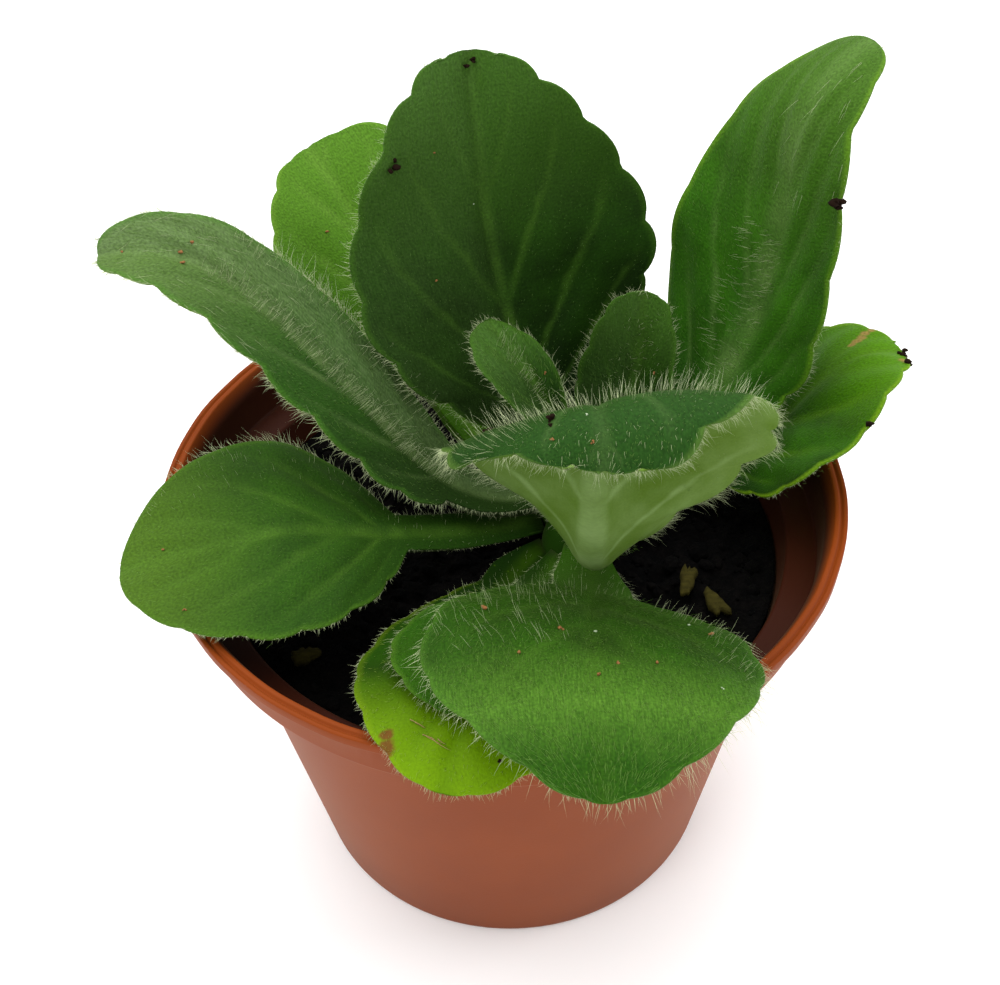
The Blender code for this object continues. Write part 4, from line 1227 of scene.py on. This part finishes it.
def kept_inside(roots, directions, bends, lengths):
    """Shortens the hairs that would reach more than REACH outside the CAD model's box."""
    low, high = (np.array(corner) / MM for corner in cad_box)
    for _ in range(CUTS):
        tips = roots + lengths[:, None] * (directions + bends)
        out = ((tips < low - REACH) | (tips > high + REACH)).any(1)
        lengths = np.where(out, KEPT_BY_A_CUT * lengths, lengths)
    return roots, directions, bends, lengths


def joined(parts):
    """One set of points and faces from several."""
    points, faces, start = [], [], 0
    for some_points, some_faces in parts:
        points.append(some_points)
        faces += [part + start for part in some_faces]
        start += len(some_points)
    return np.concatenate(points), faces


def at(grid, row, column):
    """Values between the points of a grid."""
    i = np.clip(np.floor(row).astype(int), 0, grid.shape[0] - 2)
    j = np.clip(np.floor(column).astype(int), 0, grid.shape[1] - 2)
    f, g = (row - i), (column - j)
    if grid.ndim == 3:
        f, g = f[:, None], g[:, None]
    return ((grid[i, j] * (1 - g) + grid[i, j + 1] * g) * (1 - f)
            + (grid[i + 1, j] * (1 - g) + grid[i + 1, j + 1] * g) * f)


def scatter(top, allowed, per_mm2, rng):
    """Rows and columns of places spread evenly over the allowed part of a leaf's face."""
    a = np.diff(top, axis=1)[:-1]
    b = np.diff(top, axis=0)[:, :-1]
    area = np.linalg.norm(np.cross(a, b), axis=2) * allowed[:-1, :-1]
    count = int(area.sum() * per_mm2)
    pick = rng.choice(area.size, count, p=area.ravel() / area.sum())
    row, column = np.divmod(pick, area.shape[1])
    return row + rng.random(count), column + rng.random(count)


print("a hair of three steps has", sum(len(part) for part in spikes(
    np.zeros((1, 3)), np.array([(0.0, 0.0, 1.0)]), np.zeros((1, 3)), np.ones(1), 0.02, 3)[1]), "faces")

# %% [markdown]
# Three hair finishes serve. The long hairs are clear and look white against the dark. The short
# coat lets the leaf's colour through, so it is a paler shade of it, one for the green leaves and
# one for the lime one. Hair refracts at about 1.55. It is given as a pale opaque solid, because
# thousands of refracting spikes would cost minutes and look the same.

# %% Hair finishes
def hair_material(name, colour, roughness):
    return new_material(name, Base_Color=srgb(colour), Roughness=roughness, IOR=1.55,
                        Specular_IOR_Level=0.5)[0]


clear_hair = hair_material("clear_leaf_hair", "#b6c292", 0.4)
green_coat = hair_material("short_green_coat", "#62882e", 0.5)
lime_coat = hair_material("short_lime_coat", "#9cb44c", 0.5)
print("hair finishes:", clear_hair.name, green_coat.name, lime_coat.name)

# %% [markdown]
# ## Dress the leaves
# Each leaf gets a finish and its own hair. The coat covers the blade; the fringe stands on both
# margins, and is often longer on one of them; and long hairs stand in patches of their own, such
# as a band along the midrib. `coat`, `under` and a patch's first value are hairs on a square
# millimetre, and `fringe` is hairs on a millimetre of margin. A patch then gives its range along
# the leaf and across it, the shortest and the longest hair, and how far the hairs lean off the
# face, towards the tip and outwards. The numbers were counted and measured on zoomed parts of the
# photo, and the shortest hairs are fewer and thicker than the real ones, to keep the mesh light.

# %% Hair and finish of each leaf
HAIR = dict(coat=4.0, coat_length=(0.3, 0.8), coat_lean=(0.45, 0.6, 0.3), coat_radius=0.015, under=1.5,
            fringe=9.0, fringe_length=(0.4, 1.1), fringe_sides=(1.0, 1.0), fringe_rise=(-0.4, 0.5),
            droop=0.2, fringe_radius=0.017, patches=(), coat_finish=green_coat)
STALK_HAIRS = (0.9, (-1.0, 0.05), (-1.0, 1.0), (0.4, 0.9), (1.0, 0.3, 0.2))
LEAF_HAIR = {
    "leaf_front_yellow": dict(finish="ageing_lime_leaf", coat_finish=lime_coat, fringe_length=(0.3, 0.9)),
    "leaf_front_mid": dict(finish="spring_green_leaf", coat_length=(0.4, 1.0), fringe=7.0,
                           fringe_radius=0.014, fringe_length=(0.5, 1.4), droop=0.3),
    "leaf_front": dict(
        finish="front_velvet_leaf", coat=6.0, coat_length=(0.8, 1.7), coat_lean=(0.4, 0.9, 0.1),
        coat_radius=0.013, fringe=7.0, fringe_length=(0.5, 2.6), fringe_sides=(1.0, 0.7),
        fringe_rise=(-0.6, 0.4), droop=0.5, fringe_radius=0.015,
        patches=((1.0, (0.12, 0.55), (0.1, 1.0), (1.0, 2.3), (1.0, -0.2, 0.5)),
                 (2.0, (0.1, 0.6), (-1.0, -0.75), (0.9, 1.6), (1.0, 0.0, 0.4)))),
    "leaf_left_low": dict(
        finish="green_velvet_leaf", coat=2.5, coat_length=(0.2, 0.5), fringe_length=(0.3, 0.9),
        fringe_sides=(1.0, 2.2), fringe_rise=(-0.1, 0.9),
        patches=((0.6, (0.0, 0.9), (0.5, 1.0), (0.5, 1.2), (1.0, 0.2, 0.3)),)),
    "leaf_right_low": dict(finish="yellow_green_leaf", coat=1.0, coat_length=(0.2, 0.5),
                           fringe_length=(0.3, 0.7)),
    "leaf_back_left": dict(finish="pale_green_leaf", coat=2.0, coat_length=(0.2, 0.5),
                           fringe_length=(0.2, 0.7)),
    "leaf_left_long": dict(
        finish="frosted_leaf", coat_length=(0.3, 0.9), fringe=14.0, fringe_length=(0.4, 1.4),
        fringe_sides=(1.4, 1.9), droop=0.3, fringe_radius=0.019,
        patches=((6.0, (-0.1, 0.8), (-0.3, 0.2), (1.3, 2.6), (1.0, 0.1, 0.0)),
                 (2.5, (0.1, 0.75), (0.6, 1.0), (1.4, 2.8), (1.0, 0.1, 0.2)),
                 (9.0, (0.42, 0.66), (0.88, 1.0), (1.8, 3.0), (0.9, 0.1, 0.6)),
                 (0.4, (0.6, 1.0), (-1.0, 1.0), (1.3, 2.4), (0.3, -0.9, 0.1)))),
    "leaf_back": dict(finish="dark_velvet_leaf", coat=2.5, coat_length=(0.15, 0.4), fringe_length=(0.6, 1.6),
                      fringe_sides=(1.0, 0.35)),
    "leaf_right_tall": dict(
        finish="tall_velvet_leaf", coat=3.0, coat_length=(0.3, 0.7), fringe_sides=(0.4, 1.0),
        patches=((3.0, (0.0, 0.6), (-0.35, 0.15), (1.0, 2.0), (0.9, 0.1, 0.3)),
                 (0.25, (0.7, 1.0), (-0.3, 1.0), (1.3, 2.6), (0.25, -1.0, 0.1)))),
    "leaf_middle": dict(
        finish="hooded_leaf", coat=6.0, coat_length=(0.2, 0.5), fringe=18.0, fringe_length=(0.5, 1.6),
        fringe_rise=(-0.9, 0.1), droop=0.4,
        patches=((3.5, (0.62, 0.84), (-1.0, 1.0), (0.9, 2.6), (1.0, -0.3, 0.2)),
                 (1.5, (0.82, 1.0), (-1.0, 1.0), (0.5, 1.2), (0.7, 0.6, 0.3)))),
    "leaf_young_left": dict(
        finish="dark_velvet_leaf", coat=7.0, coat_length=(0.3, 0.8), fringe=12.0, fringe_length=(0.5, 1.3),
        patches=((6.0, (0.0, 0.9), (-0.4, 0.3), (0.9, 1.7), (1.0, 0.2, 0.2)),)),
    "leaf_young_right": dict(
        finish="dark_velvet_leaf", coat=5.0, coat_length=(0.3, 0.8), fringe=11.0, fringe_length=(0.5, 1.3),
        patches=((2.0, (0.0, 0.9), (-0.6, 0.6), (0.7, 1.4), (1.0, 0.2, 0.2)),)),
}
print("patches of long hair:", sum(len(own.get("patches", ())) for own in LEAF_HAIR.values()))

# %% [markdown]
# A hair on a face is rooted at a random place, with as many to a square millimetre everywhere. It
# starts along a mix of three directions: off the face, towards the tip and outwards. A hair on the
# margin stands near the blade's plane and points away from the midrib. The place that it points
# away from lies nearer the blade's lower third than its root does, so that the fringe fans out at
# both ends of the blade. It droops by its own weight. Both kinds get a little noise, because combed
# hair would look like a brush. Short hairs are drawn more often than long ones: a random share from
# 0 to 1 is raised to a power above 1, which makes small shares more common.

# %% Root the hairs
BEND_NOISE = 0.1
BEND_DOWN = 0.12
MORE_SHORT = 1.3
ROOT_DEPTH = 0.05
FRINGE_NOISE = 0.12
FRINGE_FORWARD, FORWARD_NOISE = 0.2, 0.25
FRINGE_BEND_NOISE = 0.28
FRINGE_MORE_SHORT = 1.8
FRINGE_ANCHOR, ANCHOR_STEP = 0.1, 0.7
FRINGE_ALONG = ((-1, 0.1, 0.3, 1), (0.4, 0.6, 1, 0.75))
DROOP_RANGE = (0.4, 1.4)


def face_axes(top, facing, row, column):
    """At places on a face: off it, along the leaf towards the tip, and outwards from the midrib."""
    off = unit(at(facing, row, column))
    onwards = unit(at(np.gradient(top, axis=0), row, column))
    outwards = unit(at(np.gradient(top, axis=1), row, column)) * np.sign(column - COLUMNS)[:, None]
    return off, onwards, outwards


def face_hairs(top, facing, allowed, per_mm2, length, lean, noise, rng):
    """Hairs rooted on the allowed part of a face, which lean by the three amounts in `lean`."""
    row, column = scatter(top, allowed, per_mm2, rng)
    off, onwards, outwards = face_axes(top, facing, row, column)
    count = len(row)
    directions = unit(off * lean[0] + onwards * lean[1] + outwards * lean[2]
                      + rng.normal(0, noise, (count, 3)))
    bends = rng.normal(0, BEND_NOISE, (count, 3)) - off * BEND_DOWN
    lengths = length[0] + (length[1] - length[0]) * rng.random(count) ** MORE_SHORT
    return at(top, row, column) - off * ROOT_DEPTH, directions, bends, lengths


def patch_of(share, along_range, across_range):
    """1 on the rows and columns of the grid inside a patch, and 0 outside it."""
    rows = (share > along_range[0]) & (share < along_range[1])
    columns = (ACROSS >= across_range[0]) & (ACROSS <= across_range[1])
    return rows[:, None] * columns[None] * 1.0


def fringe_hairs(top, normals, share, hair, rng):
    """Hairs on both margins, spread evenly along them, shorter on the petiole and at the tip."""
    parts = []
    for column, factor in zip((0, -1), hair["fringe_sides"]):
        edge = top[:, column]
        run = np.r_[0, np.cumsum(np.linalg.norm(np.diff(edge, axis=0), axis=1))]
        count = int(run[-1] * hair["fringe"])
        where = np.interp(rng.uniform(0, run[-1], count), run, np.arange(len(edge)))
        i = np.minimum(where.astype(int), len(edge) - 2)
        f = (where - i)[:, None]
        root = edge[i] * (1 - f) + edge[i + 1] * f
        behind = FRINGE_ANCHOR + ANCHOR_STEP * np.clip(share[i], 0, 1)
        behind = np.interp(behind, share, np.arange(len(share))).astype(int)
        anchor = np.where((share[i] > 0)[:, None], top[behind, COLUMNS], top[i, COLUMNS])
        n = normals[i, column]
        out = edge[i] - anchor
        out = unit(out - n * (out * n).sum(1, keepdims=True))
        on = unit(edge[i + 1] - edge[i])
        rise = rng.uniform(*hair["fringe_rise"], count)[:, None]
        directions = unit(out + n * rise + on * rng.normal(FRINGE_FORWARD, FORWARD_NOISE, (count, 1))
                          + rng.normal(0, FRINGE_NOISE, (count, 3)))
        bends = np.array((0, 0, -1.0)) * hair["droop"] * rng.uniform(*DROOP_RANGE, (count, 1))
        bends = bends + rng.normal(0, FRINGE_BEND_NOISE, (count, 3))
        short, long = hair["fringe_length"]
        lengths = (short + (long - short) * rng.random(count) ** FRINGE_MORE_SHORT) * factor
        lengths = lengths * np.interp(share[i], *FRINGE_ALONG)
        parts.append((root - n * MARGIN_RADIUS - out * ROOT_DEPTH, directions, bends, lengths))
    return [np.concatenate(both) for both in zip(*parts)]


# %% [markdown]
# Now each leaf is made in three pieces that replace one plain solid: the blade, its short coat
# above and below, and the fringe with all long hairs. The underside's hairs are short and root on
# the lower face. Each leaf has its own seed, so a change to one leaves the others as they are.

# %% Build the leaves and their hairs
COAT_NOISE = 0.16
UNDER_LENGTH, UNDER_LEAN, UNDER_NOISE, UNDER_RADIUS = (0.3, 0.7), (0.6, 0.5, 0.2), 0.25, 0.015
LONG_NOISE, LONG_RADIUS = 0.09, 0.014
COAT_STEPS, UNDER_STEPS, LONG_STEPS = 2, 1, 3
AGEING = ("leaf_front_yellow", "leaf_right_low")

leaf_tops, leaf_shares = {}, {}
totals = {"leaves": 0, "hairs": 0}
for number, (name, own) in enumerate(LEAVES.items()):
    leaf = {**COMMON, **own, **OWN_OUTLINE[name]}
    hair = {**HAIR, **LEAF_HAIR[name]}
    rng = np.random.default_rng(100 + number)
    top, normals, rings, values = build_leaf(leaf, rng)
    share = flat_outline(leaf)[-1]
    slot = "leaf_ageing" if name in AGEING else "leaf"
    blade = new_piece(name.replace("leaf", "blade"), *skin(rings), FINISHES[hair["finish"]], slot, [name],
                      values)
    leaf_tops[name], leaf_shares[name] = (top, normals), share
    whole_blade = patch_of(share, (-0.05, 0.99), (-1, 1))
    lower_face = top - normals * leaf["thickness"]
    above = face_hairs(top, normals, whole_blade, hair["coat"], hair["coat_length"], hair["coat_lean"],
                       COAT_NOISE, rng)
    below = face_hairs(lower_face, -normals, whole_blade, hair["under"], UNDER_LENGTH, UNDER_LEAN,
                       UNDER_NOISE, rng)
    coat = [spikes(*above, hair["coat_radius"], COAT_STEPS), spikes(*below, UNDER_RADIUS, UNDER_STEPS)]
    coat = new_piece(name.replace("leaf", "coat"), *joined(coat), hair["coat_finish"], slot)
    on_margin = kept_inside(*fringe_hairs(top, normals, share, hair, rng))
    fringe = [spikes(*on_margin, hair["fringe_radius"], LONG_STEPS)]
    for per_mm2, along_range, across_range, length, lean in (STALK_HAIRS, *hair["patches"]):
        allowed = patch_of(share, along_range, across_range)
        long_hairs = face_hairs(top, normals, allowed, per_mm2, length, lean, LONG_NOISE, rng)
        fringe.append(spikes(*kept_inside(*long_hairs), LONG_RADIUS, LONG_STEPS))
    stalk = patch_of(share, *STALK_HAIRS[1:3])
    stalk_hairs = face_hairs(lower_face, -normals, stalk, STALK_HAIRS[0], *STALK_HAIRS[3:], LONG_NOISE, rng)
    fringe.append(spikes(*stalk_hairs, LONG_RADIUS, LONG_STEPS))
    fringe = new_piece(name.replace("leaf", "fringe"), *joined(fringe), clear_hair, slot)
    totals["leaves"] += triangles_of(blade)
    totals["hairs"] += triangles_of(coat) + triangles_of(fringe)
    print(name, triangles_of(blade), triangles_of(coat), triangles_of(fringe))
print("leaf and hair triangles:", totals)

# %% [markdown]
# ## Litter on the leaves
# Hairy leaves catch what falls on them: crumbs of peat, brown flecks of dry husk, specks of lime
# from the water, and a few loose fibres. Each is placed by its share of the way along a leaf and
# across it, matched to the photo, with its size in millimetres, and lies on the finished surface,
# so that it stays where it is from any side. A fibre is given by its two ends.

# %% List the litter
CRUMBS = (
    ("leaf_middle", 0.57, 0.70, 0.55), ("leaf_middle", 0.83, 0.36, 0.32), ("leaf_middle", 0.85, 0.38, 0.2),
    ("leaf_back", 0.81, -0.82, 0.55), ("leaf_back", 0.985, 0.1, 0.3), ("leaf_back", 0.975, -0.1, 0.25),
    ("leaf_right_tall", 0.70, 1.0, 0.5), ("leaf_right_tall", 0.69, 1.0, 0.35),
    ("leaf_right_low", 0.985, 0.4, 0.4), ("leaf_right_low", 0.97, 0.9, 0.35),
    ("leaf_right_low", 0.66, 1.0, 0.35), ("leaf_front_yellow", 0.90, -0.58, 0.2),
)
FLECKS = (
    ("leaf_front", 0.396, 0.698, 0.3), ("leaf_front", 0.594, 0.438, 0.18),
    ("leaf_front", 0.485, 0.184, 0.2), ("leaf_front", 0.645, -0.142, 0.2),
    ("leaf_front", 0.606, -0.378, 0.2), ("leaf_front", 0.697, -0.018, 0.18),
    ("leaf_front", 0.386, -0.757, 0.2), ("leaf_back", 0.567, -0.465, 0.15),
    ("leaf_back", 0.831, -0.465, 0.12),
    ("leaf_back_left", 0.757, -0.403, 0.22), ("leaf_left_long", 0.855, 0.082, 0.2),
    ("leaf_left_long", 0.832, 0.343, 0.22), ("leaf_left_long", 0.839, -0.163, 0.2),
    ("leaf_left_long", 0.955, -0.045, 0.18), ("leaf_left_low", 0.873, 0.121, 0.22),
    ("leaf_left_low", 0.793, -0.767, 0.15), ("leaf_young_left", 0.593, 0.528, 0.15),
    ("leaf_young_right", 0.471, 0.278, 0.16), ("leaf_young_right", 0.617, 0.501, 0.14),
    ("leaf_middle", 0.9, 0.45, 0.18), ("leaf_middle", 0.93, 0.1, 0.15),
)
PALE_SPECKS = (("leaf_front", 0.474, -0.027, 0.14), ("leaf_front", 0.336, -0.679, 0.12),
               ("leaf_front", 0.675, -0.767, 0.12), ("leaf_back", 0.72, -0.1, 0.1),
               ("leaf_middle", 0.86, 0.1, 0.12))
FIBRES = (
    ((0.825, 0.53), (0.844, 0.35)), ((0.832, 0.48), (0.85, 0.33)), ((0.865, 0.40), (0.883, 0.22)),
    ((0.875, 0.30), (0.915, 0.07)), ((0.87, 0.36), (0.90, 0.14)), ((0.88, 0.22), (0.90, 0.10)),
)
print("litter:", len(CRUMBS), "crumbs,", len(FLECKS), "flecks,", len(FIBRES), "fibres")

# %% [markdown]
# Crumbs, flecks and specks are small clumps of the same dented balls that the peat is made of.
# The fibres are made as thick hairs are, lifted a little off the leaf. All of it is dry and matt.

# %% Scatter the litter
BALL_LIFT = 0.4
BALL_SPREAD = 0.45
BALL_SIZES = (0.45, 0.75)
FIBRE_LIFT = 0.12
FIBRE_RADIUS = 0.06
FIBRE_BEND = 0.1
FIBRE_NOISE = 0.12
FIBRE_STEPS = 4


def on_leaf(name, along_leaf, across_leaf):
    """The point on a leaf's face, and the face's normal, at a share along and across it."""
    top, normals = leaf_tops[name]
    share = leaf_shares[name]
    row = np.array([np.interp(along_leaf, share, np.arange(len(share)))])
    column = np.array([np.interp(across_leaf, ACROSS, np.arange(len(ACROSS)))])
    return at(top, row, column)[0], unit(at(normals, row, column))[0]


def litter(name, table, balls, material, slot, rng):
    """Each bit is a small clump of dented balls that sits on the leaf."""
    places, sizes = [], []
    for leaf, along_leaf, across_leaf, size in table:
        place, off = on_leaf(leaf, along_leaf, across_leaf)
        for ball in range(balls):
            places.append(place + off * BALL_LIFT * size
                          + rng.normal(0, BALL_SPREAD * size, 3) * (ball > 0))
            sizes.append(size * rng.uniform(*BALL_SIZES))
    return new_piece(name, *crumbs(np.array(places), np.array(sizes), rng), material, slot)


rng = np.random.default_rng(31)
husk = new_material("dry_husk", Base_Color=srgb("#8a5a2c"), Roughness=0.8)[0]
straw = new_material("dry_fibre", Base_Color=srgb("#a08a50"), Roughness=0.8)[0]
dust = new_material("lime_dust", Base_Color=srgb("#a8b898"), Roughness=0.9)[0]
loose = new_material("loose_peat", Base_Color=srgb("#1c0f07"), Roughness=0.9, Specular_IOR_Level=0.1)[0]
litter("litter_crumbs", CRUMBS, 5, loose, "peat", rng)
litter("litter_flecks", FLECKS, 3, husk, "wood_chip", rng)
litter("litter_dust", PALE_SPECKS, 2, dust, "wood_chip", rng)
roots, ends = (np.array([on_leaf("leaf_front_yellow", *pair[k])[0] for pair in FIBRES]) for k in (0, 1))
lift = np.array([on_leaf("leaf_front_yellow", *pair[0])[1] for pair in FIBRES])
lengths = np.linalg.norm(ends - roots, axis=1)
bends = lift * FIBRE_BEND + rng.normal(0, FIBRE_NOISE, (len(FIBRES), 3))
fibres = spikes(roots + lift * FIBRE_LIFT, unit(ends - roots), bends, lengths, FIBRE_RADIUS, FIBRE_STEPS)
fibres = new_piece("litter_fibres", *fibres, straw, "wood_chip")
print("fibre triangles:", triangles_of(fibres))

# %% [markdown]
# ## The stem
# The stem is a short fleshy post, hidden by the petioles that grow out of it. It keeps the CAD's
# section with a slimmer rounded shoulder, and a slight ripple, and the petioles' feet reach into
# its side. It takes the finish of the green leaves, and its values for the shader say that it is
# all petiole: at the foot of the blade, and far from any margin.

# %% Make the stem
STEM_TOP = 38.3
SHOULDER = 0.5
STEM_SIDES = 48
RIPPLE = 0.03

stem_section = rounded([
    (0.6, PEAT_CROWN_HEIGHT - STEM_DEPTH, 0), (STEM_RADIUS - 0.3, PEAT_CROWN_HEIGHT - STEM_DEPTH, 0.5),
    (STEM_RADIUS, PEAT_CROWN_HEIGHT - STEM_DEPTH + 1.5, 0.4), (STEM_RADIUS - SHOULDER, STEM_TOP - 4.0, 1.5),
    (2.0, STEM_TOP - 1.2, 0.8), (0.5, STEM_TOP - SHOULDER, 0)])
stem_points, stem_faces = spin(stem_section, STEM_SIDES)
ripple = 1 + RIPPLE * np.sin(3 * np.arctan2(stem_points[:, 1], stem_points[:, 0]) + stem_points[:, 2])
stem_points = stem_points * np.stack([ripple, ripple, np.ones_like(ripple)], -1) + (STEM_X, 0.0, 0.0)
stem_paper = np.stack([np.full(len(stem_points), 3.0), stem_points[:, 2], np.ones(len(stem_points))], -1)
stem = new_piece("leaf_stem", stem_points, stem_faces, FINISHES["green_velvet_leaf"], "leaf_stalk", ["stem"],
                 {"leaf_place": 0 * stem_paper, "leaf_paper": stem_paper, "leaf_edge": 0 * stem_paper + 3.0})
print("stem triangles:", triangles_of(stem))

# %% [markdown]
# ## Finish
# The CAD model's box is printed.

# %% Print the CAD model's box
print("CAD box:", cad_box)
